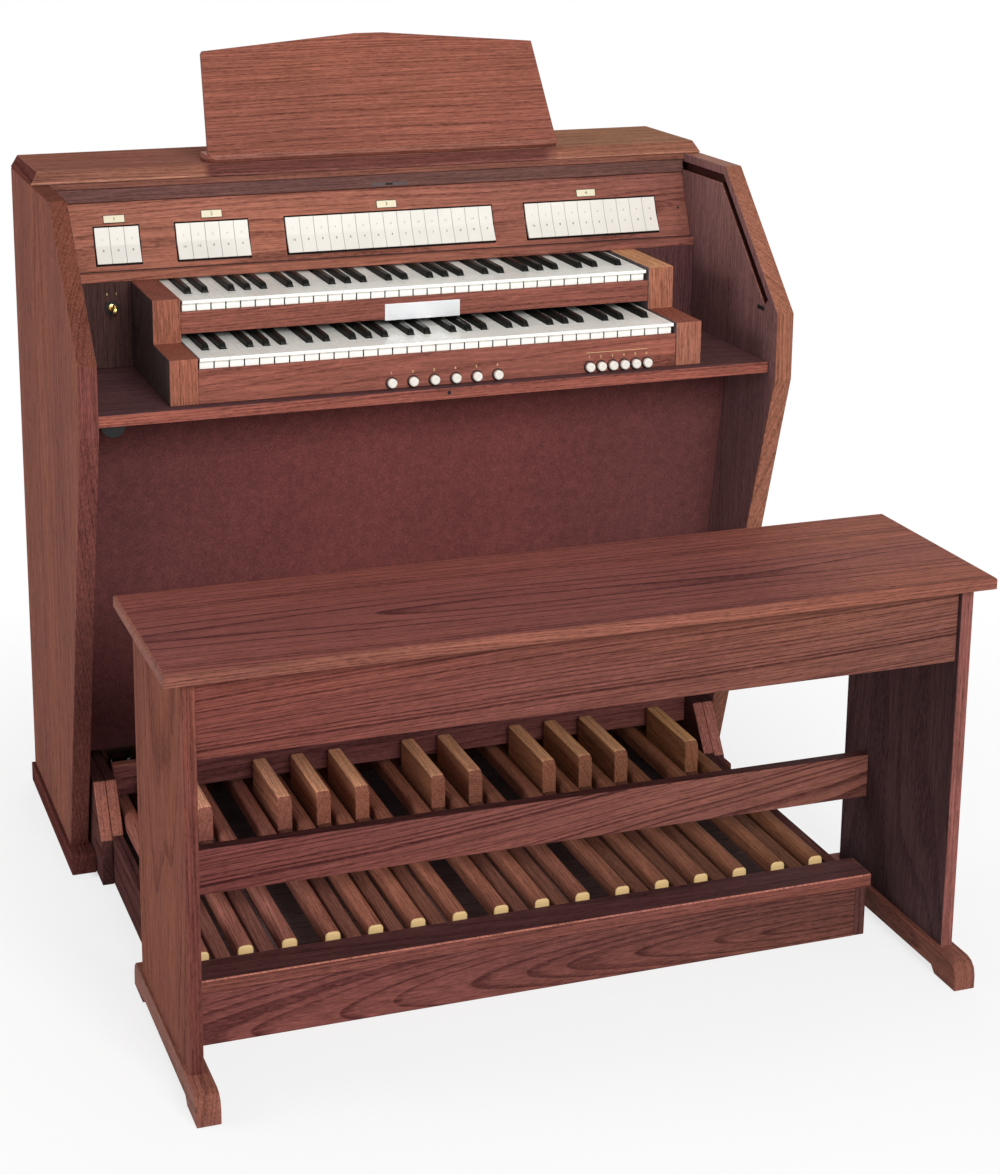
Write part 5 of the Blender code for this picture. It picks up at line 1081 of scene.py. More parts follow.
def tab_outline():
    """A rocker tab from the side: flat above its crease, standing out below it."""
    lower_out = TAB_PROUD + TAB_HALF * math.tan(TAB_TILT)
    back = TAB_PROUD - TAB_THICKNESS
    stem_end = -TAB_SHAFT_DEPTH - TAB_SHAFT_RADIUS
    return [
        (TAB_PROUD, TAB_HALF), (back, TAB_HALF), (back, TAB_STEM_HALF), (stem_end, TAB_STEM_HALF / 2),
        (stem_end, -TAB_STEM_HALF / 2), (back, -TAB_STEM_HALF), (lower_out - TAB_THICKNESS, -TAB_HALF),
        (lower_out, -TAB_HALF), (TAB_PROUD, 0),
    ]


def make_tabs():
    right = Vector((1, 0, 0))
    lean_up = (on_panel(0, 0, 0) - on_panel(0, TAB_HALF * math.tan(TAB_TILT), -TAB_HALF)).normalized()
    flat_up = (on_panel(0, 0, 1) - on_panel(0, 0, 0)).normalized()
    for node, (count, middle) in TAB_GROUPS.items():
        width = TAB_PITCH - TAB_SPACING
        first = middle - count * TAB_PITCH / 2 + TAB_SPACING / 2
        pattern = bmesh.new()
        origin = on_panel(0, 0, 0)
        rings = [[on_panel(x, *point) - origin for point in tab_outline()] for x in (0, width)]
        eased_loft(pattern, rings, 0.0004)
        start = origin + Vector((first, 0, 0))
        row_piece(f"{node}_rockers", pattern, count, start, (TAB_PITCH, 0, 0), "tab_plastic", node,
                  [node])
        marks, serials = bmesh.new(), bmesh.new()
        for index, number in enumerate(TAB_NUMBERS[node]):
            x = first + index * TAB_PITCH + width / 2
            drop = 0.0085
            out = TAB_PROUD + drop * math.tan(TAB_TILT) + 0.00004
            add_number(marks, number, 0.0058, on_panel(x, out, -drop), right, lean_up, 0.00008)
            add_number(serials, str(index + 1), 0.0054, on_panel(x, TAB_PROUD + 0.00004, 0.0100), right, flat_up,
                       0.00008)
        finish_piece(marks, f"{node}_numbers", node, ["mark_black"])
        finish_piece(serials, f"{node}_serials", node, ["mark_tan"])


def make_pistons():
    axis = Vector((0, -1, 0))
    radius, length = PISTON_HEAD
    right, up = Vector((1, 0, 0)), Vector((0, 0, 1))
    figures = bmesh.new()
    collars = bmesh.new()
    for node, (count, pitch, middle) in PISTON_GROUPS.items():
        pattern = bmesh.new()
        head = [(-0.020, 0.0044), (PISTON_HEAD_REAR, 0.0044), (PISTON_HEAD_REAR, radius - 0.0008),
                (PISTON_HEAD_REAR + 0.0006, radius)]
        face = PISTON_HEAD_REAR + length
        head += [(face - 0.0022, radius), (face - 0.0010, radius - 0.0008), (face - 0.0003, radius - 0.0022),
                 (face - 0.0005, radius - 0.0034), (face - 0.0011, 0.0006)]
        lathe(pattern, (0, 0, 0), axis, head, 24)
        first = middle - (count - 1) * pitch / 2
        height = SHELF_TOP + PISTON_HEIGHT
        row_piece(f"{node}_heads", pattern, count, at(first, SLIP_FRONT, height), (pitch, 0, 0),
                  "tab_plastic", node, [node], smooth=True)
        bar = bmesh.new()
        low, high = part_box(node)
        eased_box(bar, (low.x, high.y - 0.005, low.z + 0.0026), (high.x, high.y, high.z - 0.0026), 0.0005)
        finish_piece(bar, f"{node}_bar", node, ["tab_plastic"])
        for index in range(count):
            x = first + index * pitch
            ring_band(collars, at(x, SLIP_FRONT, height), axis, 0.0079, 0.0093, 0.0014)
            add_number(figures, str(index + 1), 0.0060, at(x, SLIP_FRONT + 0.0001, height + 0.0152), right, up)
    finish_piece(collars, "piston_collars", "console", ["black_metal"], smooth=True)
    console_block(figures, (0.240, 0.345), (SLIP_FRONT, SLIP_FRONT + 0.00012), (0.8331, 0.8337), 0.00002, 1)
    finish_piece(figures, "piston_numbers", "console", ["mark_gold"])


def make_power_lock():
    axis = Vector((0, -1, 0))
    front = SWITCH_BOARD_FRONT
    centre = at(SWITCH_X, front, SWITCH_HEIGHT)
    bezel = bmesh.new()
    ring_band(bezel, centre, axis, 0.0071, 0.0120, 0.0015, ease=0.0007)
    finish_piece(bezel, "lock_bezel", "console", ["black_metal"], smooth=True)
    barrel = bmesh.new()
    lathe(barrel, centre, axis, [(-0.012, 0.0068), (0.0012, 0.0068), (0.0017, 0.0062), (0.0017, 0.0012)], 32)
    face = 0.0017
    bow_centre = centre + axis * (face + 0.0195)
    ring_band(barrel, bow_centre - Vector((0.00125, 0, 0)), (1, 0, 0), 0.0042, 0.0105, 0.0025, ease=0.0005)
    eased_box(barrel, (centre.x - 0.00095, bow_centre.y + 0.0085, SWITCH_HEIGHT - 0.0034),
              (centre.x + 0.00095, centre.y - face + 0.0005, SWITCH_HEIGHT + 0.0034), 0.0003)
    finish_piece(barrel, "lock_barrel_and_key", "power_key", ["brass"], replaces=["power_key"],
                 smooth=True)
    marks = bmesh.new()
    right, up = Vector((1, 0, 0)), Vector((0, 0, 1))
    add_number(marks, "0", 0.0055, at(SWITCH_X - 0.0075, front + 0.0001, SWITCH_HEIGHT + 0.0225), right, up)
    add_number(marks, "1", 0.0055, at(SWITCH_X + 0.0075, front + 0.0001, SWITCH_HEIGHT + 0.0225), right, up)
    finish_piece(marks, "lock_numbers", "console", ["mark_gold"])


# Loudspeaker cloth and the parts behind it

def on_kick_panel(x, outward, up):
    run = KICK_HEAD[0] - KICK_FOOT[0]
    rise = KICK_HEAD[1] - KICK_FOOT[1]
    lean = math.atan2(run, rise)
    depth = KICK_FOOT[0] + outward * math.cos(lean) + up * math.sin(lean)
    height = KICK_FOOT[1] - outward * math.sin(lean) + up * math.cos(lean)
    return at(x, depth, height)


def make_speaker_cloth():
    """The cloth stretched over the kick panel, drawn a little in between its fixings."""
    length = math.hypot(KICK_HEAD[0] - KICK_FOOT[0], KICK_HEAD[1] - KICK_FOOT[1])
    half = INSIDE_HALF - 0.0008
    across, along = 110, 62
    work = bmesh.new()
    rows = []
    for row in range(along + 1):
        up = 0.0006 + (length - 0.0012) * row / along
        line = []
        for column in range(across + 1):
            x = -half + 2 * half * column / across
            edge = min(row, along - row) / along
            pull = 0.00025 * math.sin(column * 1.1) * math.exp(-edge * 30)
            line.append(work.verts.new(on_kick_panel(x, 0.0009 + pull, up)))
        rows.append(line)
    for low, high in zip(rows, rows[1:]):
        for column in range(across):
            work.faces.new((low[column], low[column + 1], high[column + 1], high[column]))
    piece = finish_piece(work, "speaker_cloth", "console", ["speaker_cloth"], smooth=True)
    repaint("kick_panel", "hardboard")


def repaint(node, finish):
    """Give a CAD node that keeps its shape a better finish."""
    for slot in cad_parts[node].material_slots:
        slot.material = finish_named(finish)


def make_inner_parts():
    repaint("loudspeaker", "black_metal")
    repaint("electronics_chassis", "grey_metal")


def make_back():
    board = eased_copy("back_panel", 0.0008, 0.02)
    lower(board, 0.03, 0.05, 0.020)
    finish_piece(board, "back_panel_board", "console", ["hardboard"], replaces=["back_panel"])
    head = [(-0.0012, 0.0030), (0.0004, 0.0038), (0.0010, 0.0034), (0.0014, 0.0020), (0.0015, 0.0004)]
    for name, count, start, step in (
        ("back_screws_top", 9, at(-0.52, 0, 1.078), (0.13, 0, 0)),
        ("back_screws_bottom", 9, at(-0.52, 0, 0.056), (0.13, 0, 0)),
        ("back_screws_left", 6, at(-0.536, 0, 0.20), (0, 0, 0.145)),
        ("back_screws_right", 6, at(0.536, 0, 0.20), (0, 0, 0.145)),
    ):
        pattern = bmesh.new()
        lathe(pattern, (0, 0, 0), (0, 1, 0), [(d - 0.0016, r) for d, r in head], 16)
        row_piece(name, pattern, count, start, step, "steel", "console", smooth=True)
    pins = bmesh.new()
    for x, z in ((0.393, 0.158), (0.407, 0.158), (0.400, 0.164)):
        console_block(pins, (x - 0.001, x + 0.001), (0.003, 0.0158), (z - 0.0022, z + 0.0022), 0.0004)
    finish_piece(pins, "mains_inlet_pins", "console", ["steel"])


# Music desk

def make_music_desk():
    board = bmesh.new()
    corners = [(-0.3035, 0.0), (0.3035, 0.0), (0.2905, 0.1904), (0.025, 0.2146), (-0.025, 0.2146),
               (-0.2905, 0.1904)]
    rings = [[on_desk(x, outward, up) for x, up in corners] for outward in (-DESK_THICKNESS, 0)]
    eased_loft(board, rings, 0.0016)
    low = LID_TOP + 0.0003
    for side in (-1, 1):
        middle = DESK_X + side * 0.180
        outline = [(0.1899, low), (0.0519, low), (0.1301, 1.2224)]
        console_prism(board, outline, (middle - 0.0075, middle + 0.0075), 0.001)
    finish_piece(board, "music_desk_board", "console", ["oak_desk"], replaces=["music_desk"])

    # The ledge's top faces take the paler cheek finish as painted light
    def pick(centre, normal):
        return 1 if normal.z > 0.3 else 0

    ledge = bmesh.new()
    half, front, corner = 0.3065, 0.1954, 0.018
    right = arc((half - corner, front - corner), corner, 0, 90, 9)
    left = arc((-half + corner, front - corner), corner, 90, 180, 9)
    plan = [(half, front - 0.046), *right, *left, (-half, front - 0.046)]
    rings = [[at(DESK_X + x, depth, z) for x, depth in plan] for z in (low, low + 0.0134)]
    eased_loft(ledge, rings, 0.0014)
    finish_piece(ledge, "music_desk_ledge", "console", ["oak_desk_ledge_shade_and_highlight", "oak_cheek_face"], pick)


# Pedals

def pedal_top(depth):
    return PEDAL_REAR_TOP + (depth - PEDAL_REAR) * PEDAL_SLOPE


def bar_ring(x, depth, half, bottom, top, rounding):
    right = arc((half - rounding, top - rounding), rounding, 0, 90, 6)
    left = arc((-half + rounding, top - rounding), rounding, 90, 180, 6)
    return [at(x + one, depth, two) for one, two in [(-half, bottom), (half, bottom), *right, *left]]


def add_pedal_bar(work, x, height, rounding):
    """A pedal's bar, its front end rounded all round."""
    half, ease = PEDAL_WIDTH / 2, PEDAL_END_EASING
    spots = [(PEDAL_REAR, 0.0)]
    for angle in (0, 30, 60, 90):
        turn = math.radians(angle)
        spots.append((PEDAL_FRONT - ease * (1 - math.sin(turn)), ease * (1 - math.cos(turn))))
    rings = []
    for depth, inset in spots:
        bottom = pedal_top(depth) - PEDAL_HEIGHT + inset
        top = pedal_top(depth) - PEDAL_HEIGHT + height - inset
        rings.append(bar_ring(x, depth, half - inset, bottom, top, rounding - inset))
    loft(work, rings)


def add_sharp_block(work, x):
    """The tall playing block of a sharp pedal with its rounded nose."""
    base = pedal_top(BLOCK_REAR) - PEDAL_HEIGHT + PEDAL_LOW_HEIGHT / 2
    centre = (BLOCK_FRONT - BLOCK_NOSE, BLOCK_TOP - BLOCK_NOSE)
    nose = arc(centre, BLOCK_NOSE, 90, 0, 6)
    rings = []
    for depth, top in [(BLOCK_REAR, BLOCK_TOP), *nose]:
        rings.append(bar_ring(x, depth, BLOCK_WIDTH / 2, base, top, BLOCK_ROUNDING))
    loft(work, rings)


def make_pedals():
    front = BACK_Y - PEDAL_FRONT

    def pick_natural(centre, normal):
        return 1 if normal.y < -0.60 and centre.y < front + 0.004 else 0

    def pick_sharp(centre, normal):
        if centre.z < 0.100:
            return 1
        if normal.y < -0.4:
            return 2
        # Upward faces take the painted highlight
        return 3 if normal.z > 0.55 else 0

    number = 0
    for index in range(NATURAL_PEDALS):
        x = FIRST_PEDAL + index * PEDAL_PITCH
        spots = [(x, False)]
        if NATURAL_NAMES[index % 7] in SHARP_SHIFTS and index < NATURAL_PEDALS - 1:
            spots.append((x + PEDAL_PITCH / 2, True))
        for middle, sharp in spots:
            number += 1
            node = f"pedal_{number:02d}"
            work = bmesh.new()
            if sharp:
                add_pedal_bar(work, middle, PEDAL_LOW_HEIGHT, PEDAL_LOW_ROUNDING)
                add_sharp_block(work, middle)
                finishes = ["pedal_block_side", "pedal_low_wood", "pedal_block_end", "pedal_block_top_highlight"]
                pick = pick_sharp
            else:
                add_pedal_bar(work, middle, PEDAL_HEIGHT, PEDAL_ROUNDING)
                finishes, pick = ["pedal_wood", "pedal_end"], pick_natural
            finish_piece(work, f"{node}_wood", node, finishes, pick, [node], smooth=True)


def cheek_outline(bottom, front_bottom):
    return [(0.200, bottom), (0.200, 0.155), (0.390, 0.155), (0.445, 0.075), (front_bottom, bottom)]


def make_pedal_frame():
    inside, outside = FRAME_INSIDE, FRAME_HALF
    front, cap_rear = FRAME_FRONT, 0.9100

    # The cap's top in painted shade under the bench, its eased top edges with painted light
    def pick_cap(centre, normal):
        if normal.z > 0.95:
            return 1
        return 2 if normal.z > 0.2 else 0

    # The toe board's top with painted light
    def pick_toe(centre, normal):
        return 1 if normal.z > 0.2 else 0

    board = bmesh.new()
    console_block(board, (-inside, inside), (front - 0.018, front), (0.0, 0.0787), 0.0012)
    finish_piece(board, "pedal_frame_front", "console", ["oak_frame"], replaces=["pedal_frame"])
    cap = bmesh.new()
    half = outside + 0.008
    console_block(cap, (-half, half), (cap_rear, front + 0.0003), (0.0790, 0.0990), 0.0018)
    finish_piece(cap, "pedal_frame_cap", "console", ["oak_frame_cap", "oak_frame_top_shade", "oak_frame_highlight"],
                 pick_cap)
    sides = bmesh.new()
    for side in (-1, 1):
        xs = (side * (inside + 0.0003), side * outside)
        console_block(sides, xs, (0.1720, cap_rear - 0.0003), (0.0, 0.080), 0.0012)
        console_block(sides, xs, (cap_rear - 0.0006, front - 0.0003), (0.0, 0.0787), 0.0012)
    console_block(sides, (-outside, outside), (0.150, 0.1717), (0.0, 0.0824), 0.0012)
    finish_piece(sides, "pedal_frame_sides", "console", ["oak_frame_side_shade"])
    base = bmesh.new()
    console_block(base, (-inside, inside), (0.1717, front - 0.018), (0.004, 0.009), 0.0005, 1)
    finish_piece(base, "pedal_frame_base", "console", ["oak_frame_base"])
    ledge = bmesh.new()
    console_block(ledge, (-inside, inside), (0.8805, front - 0.018), (0.0501, 0.0716), 0.0008)
    finish_piece(ledge, "pedal_stop_ledge", "console", ["oak_frame_base"])
    strip = bmesh.new()
    console_block(strip, (-inside, inside), (0.8820, 0.9480), (0.0715, 0.0721), 0.0002, 1)
    finish_piece(strip, "pedal_stop_felt", "console", ["felt"])
    toe = bmesh.new()
    console_block(toe, (-inside + 0.0007, inside - 0.0007), (0.342, 0.360), (0.1120, 0.165), 0.0018)
    finish_piece(toe, "toe_board", "console", ["oak_toe_board", "oak_frame_highlight"], pick_toe)

    # The cheeks' raked fronts with painted light, their other faces in painted shade
    def pick_cheek(centre, normal):
        return 1 if normal.y < -0.3 and centre.z > 0.076 else 0

    cheeks = bmesh.new()
    reach = 0.390 + (0.155 - 0.0803) / 0.080 * 0.055
    for side in (-1, 1):
        console_prism(cheeks, cheek_outline(0.0, 0.445), (side * (outside + 0.0003), side * (outside + 0.019)),
                      0.0014)
        inner = [(0.200, 0.0803), (0.200, 0.155), (0.390, 0.155), (reach, 0.0803)]
        console_prism(cheeks, inner, (side * (outside - 0.0003), side * (outside - 0.0177)), 0.0014)
    finish_piece(cheeks, "pedal_frame_cheeks", "console", ["oak_frame_side_shade", "oak_frame_highlight"],
                 pick_cheek)


# Bench

def make_bench():
    def seat_pick(centre, normal):
        return 1 if abs(normal.y) > 0.5 or abs(normal.x) > 0.5 else 0

    finish_piece(eased_copy("bench_top", 0.0012), "bench_seat", "bench",
                 ["oak_bench_seat", "oak_bench_edge"], seat_pick, ["bench_top"])

    # Fronts: the left leg's in painted shade, the right's with painted light; inner faces in painted shade
    def leg_pick(centre, normal):
        if centre.z < 0.0435:
            return 1
        if normal.y < -0.5:
            return 2 if centre.x < BENCH_X else 4
        return 3 if normal.x * (centre.x - BENCH_X) < -0.25 else 0

    for node in ("bench_side_left", "bench_side_right"):
        finish_piece(eased_copy(node, 0.0014, 0.006), f"{node}_wood", "bench",
                     ["oak_bench_leg", "oak_bench_foot", "oak_bench_leg_left_front_shade", "oak_bench_leg_inner_shade",
                      "oak_bench_leg_right_front_lit"], leg_pick, [node])

    def board_pick(centre, normal):
        return 1 if abs(normal.z) > 0.9 else 0

    for node in ("bench_apron", "bench_stretcher"):
        finish_piece(eased_copy(node, 0.0014), f"{node}_wood", "bench",
                     [f"oak_{node}", "oak_bench_shade"], board_pick, [node])


# Stage

def aim(thing, place, target):
    thing.location = place
    thing.rotation_euler = (Vector(target) - Vector(place)).to_track_quat("-Z", "Y").to_euler()


def add_lamp(name, place, target, size, power, colour=(1.0, 1.0, 1.0)):
    lamp = bpy.data.lights.new(name, "AREA")
    lamp.shape = "RECTANGLE"
    lamp.size, lamp.size_y = size
    lamp.energy = power
    lamp.color = colour
    holder = bpy.data.objects.new(name, lamp)
    bpy.context.scene.collection.objects.link(holder)
    aim(holder, place, target)


def seen_directly(tree):
    """One for rays from the camera, off gloss and through glass, and else nothing."""
    path = tree.nodes.new("ShaderNodeLightPath")
    total = path.outputs["Is Camera Ray"]
    for name in ("Is Glossy Ray", "Is Transmission Ray"):
        node = tree.nodes.new("ShaderNodeMath")
        node.operation = "MAXIMUM"
        tree.links.new(total, node.inputs[0])
        tree.links.new(path.outputs[name], node.inputs[1])
        total = node.outputs[0]
    return total


def make_floor(settings):
    """A pale floor that keeps the organ's shadow near it and fades to white away from it, darkened under the console
    by a painted shadow.
    """
    mesh = bpy.data.meshes.new("floor")
    reach = 9.0
    corners = [(-reach, -reach), (reach, -reach), (reach, reach), (-reach, reach)]
    mesh.from_pydata([(x, y, -0.0002) for x, y in corners], [], [(0, 1, 2, 3)])
    floor = bpy.data.objects.new("floor", mesh)
    bpy.context.scene.collection.objects.link(floor)
    paint = Painter("floor_paper")
    from_edge = paint.vectors("SUBTRACT", paint.vectors("ABSOLUTE", paint.coords), FLOOR_SHADE_HALF)
    outside = paint.vectors("LENGTH", paint.vectors("MAXIMUM", from_edge, (0, 0, 0)))
    white = paint.ramp(paint.maths("DIVIDE", outside, FLOOR_FADE), (0.0, settings.floor_glow), (1.0, 1.0))
    # Painted shadow: under the console's footprint the floor is darkened to a twentieth of its colour and kept out
    # of the white
    into_painted_shadow = paint.vectors("SUBTRACT", PAINTED_SHADOW_HALF, paint.vectors("ABSOLUTE", paint.moved(
        paint.coords, location=[-value for value in PAINTED_SHADOW_MIDDLE])))
    depths = paint.add("SeparateXYZ", Vector=into_painted_shadow).node.outputs
    inward = paint.maths("DIVIDE", paint.maths("MINIMUM", depths["X"], depths["Y"]), SHADE_FADE)
    outside_painted_shadow = paint.ramp(inward, (0.0, 1.0), (1.0, 0.0))
    white = paint.maths("MULTIPLY", white, outside_painted_shadow)
    pale = tuple(settings.floor)
    paint.finish(paint.mix(outside_painted_shadow, tuple(0.05 * c for c in pale), pale), 0.9, specular=0.1)
    tree = paint.tree
    blend = tree.nodes.new("ShaderNodeMixShader")
    tree.links.new(paint.maths("MULTIPLY", seen_directly(tree), white), blend.inputs[0])
    tree.links.new(paint.shader.outputs[0], blend.inputs[1])
    tree.links.new(tree.nodes.new("ShaderNodeEmission").outputs[0], blend.inputs[2])
    tree.links.new(blend.outputs[0], tree.nodes["Material Output"].inputs["Surface"])
    mesh.materials.append(paint.material)


def make_world(settings):
    world = bpy.data.worlds.new("studio")
    world.use_nodes = True
    bpy.context.scene.world = world
    tree = world.node_tree
    ambient = tree.nodes["Background"]
    ambient.inputs["Color"].default_value = (1.0, 1.0, 1.0, 1.0)
    ambient.inputs["Strength"].default_value = settings.ambient
    backdrop = tree.nodes.new("ShaderNodeBackground")
    backdrop.inputs["Color"].default_value = (1.0, 1.0, 1.0, 1.0)
    backdrop.inputs["Strength"].default_value = 1.0
    blend = tree.nodes.new("ShaderNodeMixShader")
    tree.links.new(seen_directly(tree), blend.inputs[0])
    tree.links.new(ambient.outputs[0], blend.inputs[1])
    tree.links.new(backdrop.outputs[0], blend.inputs[2])
    tree.links.new(blend.outputs[0], tree.nodes["World Output"].inputs["Surface"])


def make_camera():
    data = bpy.data.cameras.new("camera")
    camera = bpy.data.objects.new("camera", data)
    scene = bpy.context.scene
    scene.collection.objects.link(camera)
    long_side = max(PICTURE_SIZE)
    data.sensor_width = 36.0
    data.lens = CAMERA_FOCAL_PIXELS / long_side * data.sensor_width
    data.shift_x = -PRINCIPAL_OFFSET[0] / long_side
    data.shift_y = PRINCIPAL_OFFSET[1] / long_side
    data.clip_end = 50.0
    turn, pitch = math.radians(CAMERA_TURN), math.radians(CAMERA_PITCH)
    heading = Vector((math.sin(turn) * math.cos(pitch), math.cos(turn) * math.cos(pitch), -math.sin(pitch)))
    aim(camera, CAMERA_PLACE, Vector(CAMERA_PLACE) + heading)
    scene.camera = camera


def make_stage(settings):
    make_floor(settings)
    make_world(settings)
    make_camera()
    bpy.context.scene.view_settings.view_transform = "Standard"
    target = (0.0, 0.0, 0.6)
    add_lamp("key_lamp", (0.2, -5.2, 3.2), target, (2.6, 2.0), settings.key_power)
    add_lamp("fill_lamp", (-4.4, 0.4, 1.9), target, (1.8, 1.8), settings.fill_power)
    add_lamp("back_lamp", (0.6, 3.2, 3.0), target, (2.4, 1.6), settings.back_power)


# Settings

class OrganWoodSettings(bpy.types.PropertyGroup):
    """Colours and grain of the wood"""
    stain: FloatVectorProperty(name="Stain", description="Colour of the stained oak", subtype="COLOR",
                               size=3, min=0, max=1, default=(0.275, 0.090, 0.060))
    grain: FloatVectorProperty(name="Grain", description="Colour of the dark growth lines", subtype="COLOR",
                               size=3, min=0, max=1, default=(0.075, 0.020, 0.016))
    pedal: FloatVectorProperty(name="Pedals", description="Colour of the pedals' wood", subtype="COLOR",
                               size=3, min=0, max=1, default=(0.400, 0.185, 0.105))
    pedal_grain: FloatVectorProperty(name="Pedal Grain", description="Colour of the pedals' dark lines",
                                     subtype="COLOR", size=3, min=0, max=1, default=(0.170, 0.066, 0.038))
    pedal_end: FloatVectorProperty(name="Pedal Ends", description="Colour of the pedals' sawn ends",
                                   subtype="COLOR", size=3, min=0, max=1, default=(0.740, 0.520, 0.240))
    ring_spacing: FloatProperty(name="Ring Spacing", description="Distance between growth rings",
                                default=0.0085, min=0.002, max=0.05, unit="LENGTH")
    roughness: FloatProperty(name="Roughness", description="Dullness of the lacquer", default=0.50, min=0,
                             max=1, subtype="FACTOR")


class OrganKeySettings(bpy.types.PropertyGroup):
    """Colours and edges of the keys"""
    ivory: FloatVectorProperty(name="Naturals", description="Colour of the naturals", subtype="COLOR",
                               size=3, min=0, max=1, default=(0.950, 0.950, 0.890))
    ebony: FloatVectorProperty(name="Sharps", description="Colour of the sharps", subtype="COLOR",
                               size=3, min=0, max=1, default=(0.006, 0.006, 0.005))
    easing: FloatProperty(name="Key Edge", description="Rounding of the naturals' edges", default=0.0002,
                          min=0.0001, max=0.002, unit="LENGTH")


class OrganStopSettings(bpy.types.PropertyGroup):
    """Colours of the stop tabs and their plates"""
    tab: FloatVectorProperty(name="Tabs", description="Colour of the stop tabs", subtype="COLOR", size=3,
                             min=0, max=1, default=(0.760, 0.730, 0.665))
    plate: FloatVectorProperty(name="Plates", description="Colour of the group plates", subtype="COLOR",
                               size=3, min=0, max=1, default=(0.740, 0.670, 0.480))


class OrganClothSettings(bpy.types.PropertyGroup):
    """Colour and weave of the loudspeaker cloth"""
    colour: FloatVectorProperty(name="Cloth", description="Colour of the loudspeaker cloth", subtype="COLOR",
                                size=3, min=0, max=1, default=(0.152, 0.043, 0.040))
    thread_pitch: FloatProperty(name="Thread Pitch", description="Distance between threads", default=0.0012,
                                min=0.0004, max=0.01, unit="LENGTH")


class OrganStageSettings(bpy.types.PropertyGroup):
    """Lamps and floor of the studio"""
    key_power: FloatProperty(name="Key Lamp", description="Power of the main lamp", default=290.0, min=0,
                             unit="POWER")
    fill_power: FloatProperty(name="Fill Lamp", description="Power of the lamp at the left", default=75.0,
                              min=0, unit="POWER")
    back_power: FloatProperty(name="Back Lamp", description="Power of the lamp behind", default=40.0, min=0,
                              unit="POWER")
    ambient: FloatProperty(name="Ambient", description="Strength of the light from all round", default=0.33,
                           min=0)
    floor: FloatVectorProperty(name="Floor", description="Colour of the floor", subtype="COLOR", size=3,
                               min=0, max=1, default=(0.88, 0.88, 0.88))
    floor_glow: FloatProperty(name="Floor White", description="How far the floor is washed out to white",
                              default=0.74, min=0, max=1, subtype="FACTOR")


# Operators

class ORGAN_OT_finishes(bpy.types.Operator):
    """Mix every finish from the colours in the panel"""
    bl_idname = "organ.finishes"
    bl_label = "Finishes"

    def execute(self, context):
        mix_finishes(context.scene)
        return {"FINISHED"}


class ORGAN_OT_side_panels(bpy.types.Operator):
    """Make the two side panels with their plinths"""
    bl_idname = "organ.side_panels"
    bl_label = "Side Panels"

    def execute(self, context):
        make_side_panels()
        return {"FINISHED"}


class ORGAN_OT_lid(bpy.types.Operator):
    """Make the lid and the roll top under it"""
    bl_idname = "organ.lid"
    bl_label = "Lid and Roll Top"

    def execute(self, context):
        make_lid()
        make_roll_top()
        return {"FINISHED"}


class ORGAN_OT_stop_panel(bpy.types.Operator):
    """Make the stop panel with its plates"""
    bl_idname = "organ.stop_panel"
    bl_label = "Stop Panel"

    def execute(self, context):
        make_stop_panel()
        return {"FINISHED"}


class ORGAN_OT_inner_boards(bpy.types.Operator):
    """Make the set-back board, the shelf and the woods round the manuals"""
    bl_idname = "organ.inner_boards"
    bl_label = "Shelf and Key Woods"

    def execute(self, context):
        make_inner_boards()
        make_key_woods()
        return {"FINISHED"}


class ORGAN_OT_keys(bpy.types.Operator):
    """Make the naturals and sharps of both manuals"""
    bl_idname = "organ.keys"
    bl_label = "Keys"

    def execute(self, context):
        for manual in ("upper", "lower"):
            low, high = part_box(f"{manual}_naturals")
            under_ledge = LEDGE_BOTTOM - 0.0004 - high.z
            heel_rise = under_ledge if manual == "upper" else SHARP_HEIGHT
            make_naturals(manual, context.scene.organ_keys.easing)
            make_sharps(manual, low.y, high.z, heel_rise)
        return {"FINISHED"}


class ORGAN_OT_tabs(bpy.types.Operator):
    """Make the rocker stop tabs"""
    bl_idname = "organ.tabs"
    bl_label = "Stop Tabs"

    def execute(self, context):
        make_tabs()
        return {"FINISHED"}


class ORGAN_OT_pistons(bpy.types.Operator):
    """Make the pistons and the power lock"""
    bl_idname = "organ.pistons"
    bl_label = "Pistons and Lock"

    def execute(self, context):
        make_pistons()
        make_power_lock()
        return {"FINISHED"}


class ORGAN_OT_speaker_cloth(bpy.types.Operator):
    """Stretch the loudspeaker cloth and finish the parts behind it"""
    bl_idname = "organ.speaker_cloth"
    bl_label = "Loudspeaker Cloth"

    def execute(self, context):
        make_speaker_cloth()
        make_inner_parts()
        return {"FINISHED"}


class ORGAN_OT_back(bpy.types.Operator):
    """Make the back panel with its screws and mains inlet"""
    bl_idname = "organ.back"
    bl_label = "Back Panel"

    def execute(self, context):
        make_back()
        return {"FINISHED"}


class ORGAN_OT_music_desk(bpy.types.Operator):
    """Make the music desk"""
    bl_idname = "organ.music_desk"
    bl_label = "Music Desk"

    def execute(self, context):
        make_music_desk()
        return {"FINISHED"}


class ORGAN_OT_pedalboard(bpy.types.Operator):
    """Make the pedals and their frame"""
    bl_idname = "organ.pedalboard"
    bl_label = "Pedalboard"

    def execute(self, context):
        make_pedal_frame()
        make_pedals()
        return {"FINISHED"}


class ORGAN_OT_bench(bpy.types.Operator):
    """Make the bench"""
    bl_idname = "organ.bench"
    bl_label = "Bench"

    def execute(self, context):
        make_bench()
        return {"FINISHED"}


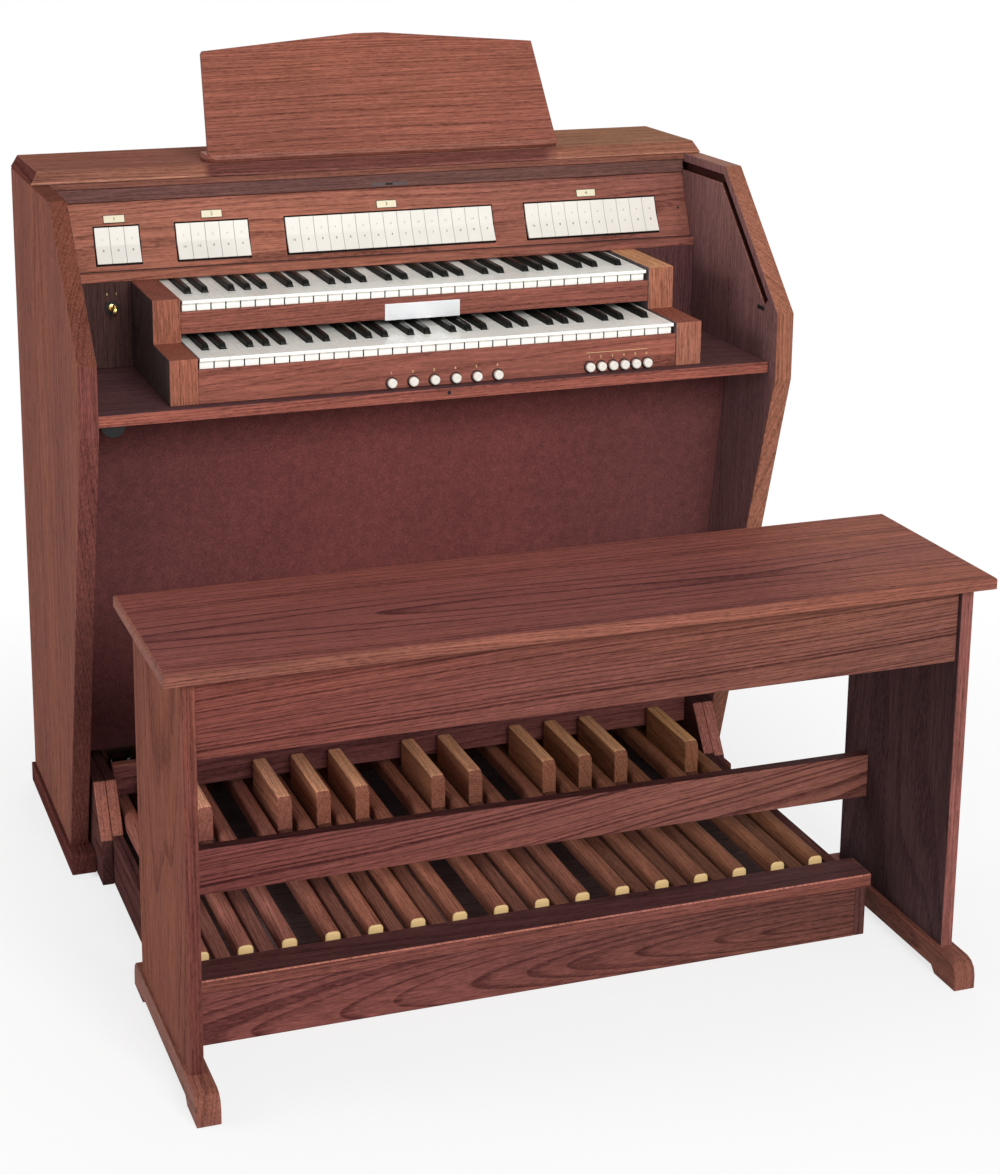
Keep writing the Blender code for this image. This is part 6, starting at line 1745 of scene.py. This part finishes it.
class ORGAN_OT_stage(bpy.types.Operator):
    """Set the floor, the lamps and the camera"""
    bl_idname = "organ.stage"
    bl_label = "Stage"

    def execute(self, context):
        make_stage(context.scene.organ_stage)
        return {"FINISHED"}


OPERATORS = (
    ORGAN_OT_stage, ORGAN_OT_finishes, ORGAN_OT_side_panels, ORGAN_OT_lid, ORGAN_OT_stop_panel,
    ORGAN_OT_inner_boards, ORGAN_OT_keys, ORGAN_OT_tabs, ORGAN_OT_pistons, ORGAN_OT_speaker_cloth,
    ORGAN_OT_back, ORGAN_OT_music_desk, ORGAN_OT_pedalboard, ORGAN_OT_bench,
)
SETTINGS = {
    "organ_wood": OrganWoodSettings,
    "organ_keys": OrganKeySettings,
    "organ_stops": OrganStopSettings,
    "organ_cloth": OrganClothSettings,
    "organ_stage": OrganStageSettings,
}


class ORGAN_PT_panel(bpy.types.Panel):
    """The organ's settings and steps"""
    bl_idname = "ORGAN_PT_panel"
    bl_label = "Console Organ"
    bl_space_type = "VIEW_3D"
    bl_region_type = "UI"
    bl_category = "Organ"

    def draw(self, context):
        layout = self.layout
        for attribute in SETTINGS:
            group = getattr(context.scene, attribute)
            column = layout.box().column()
            for name in group.bl_rna.properties.keys():
                if name not in {"rna_type", "name"}:
                    column.prop(group, name)
        for operator in OPERATORS:
            layout.operator(operator.bl_idname)


def register():
    for settings in SETTINGS.values():
        bpy.utils.register_class(settings)
    for attribute, settings in SETTINGS.items():
        setattr(bpy.types.Scene, attribute, PointerProperty(type=settings))
    for operator in OPERATORS:
        bpy.utils.register_class(operator)
    bpy.utils.register_class(ORGAN_PT_panel)


def unregister():
    bpy.utils.unregister_class(ORGAN_PT_panel)
    for operator in reversed(OPERATORS):
        bpy.utils.unregister_class(operator)
    for attribute in SETTINGS:
        delattr(bpy.types.Scene, attribute)
    for settings in reversed(list(SETTINGS.values())):
        bpy.utils.unregister_class(settings)


def main():
    register()
    for operator in OPERATORS:
        category, name = operator.bl_idname.split(".")
        getattr(getattr(bpy.ops, category), name)()


if __name__ == "__main__":
    main()
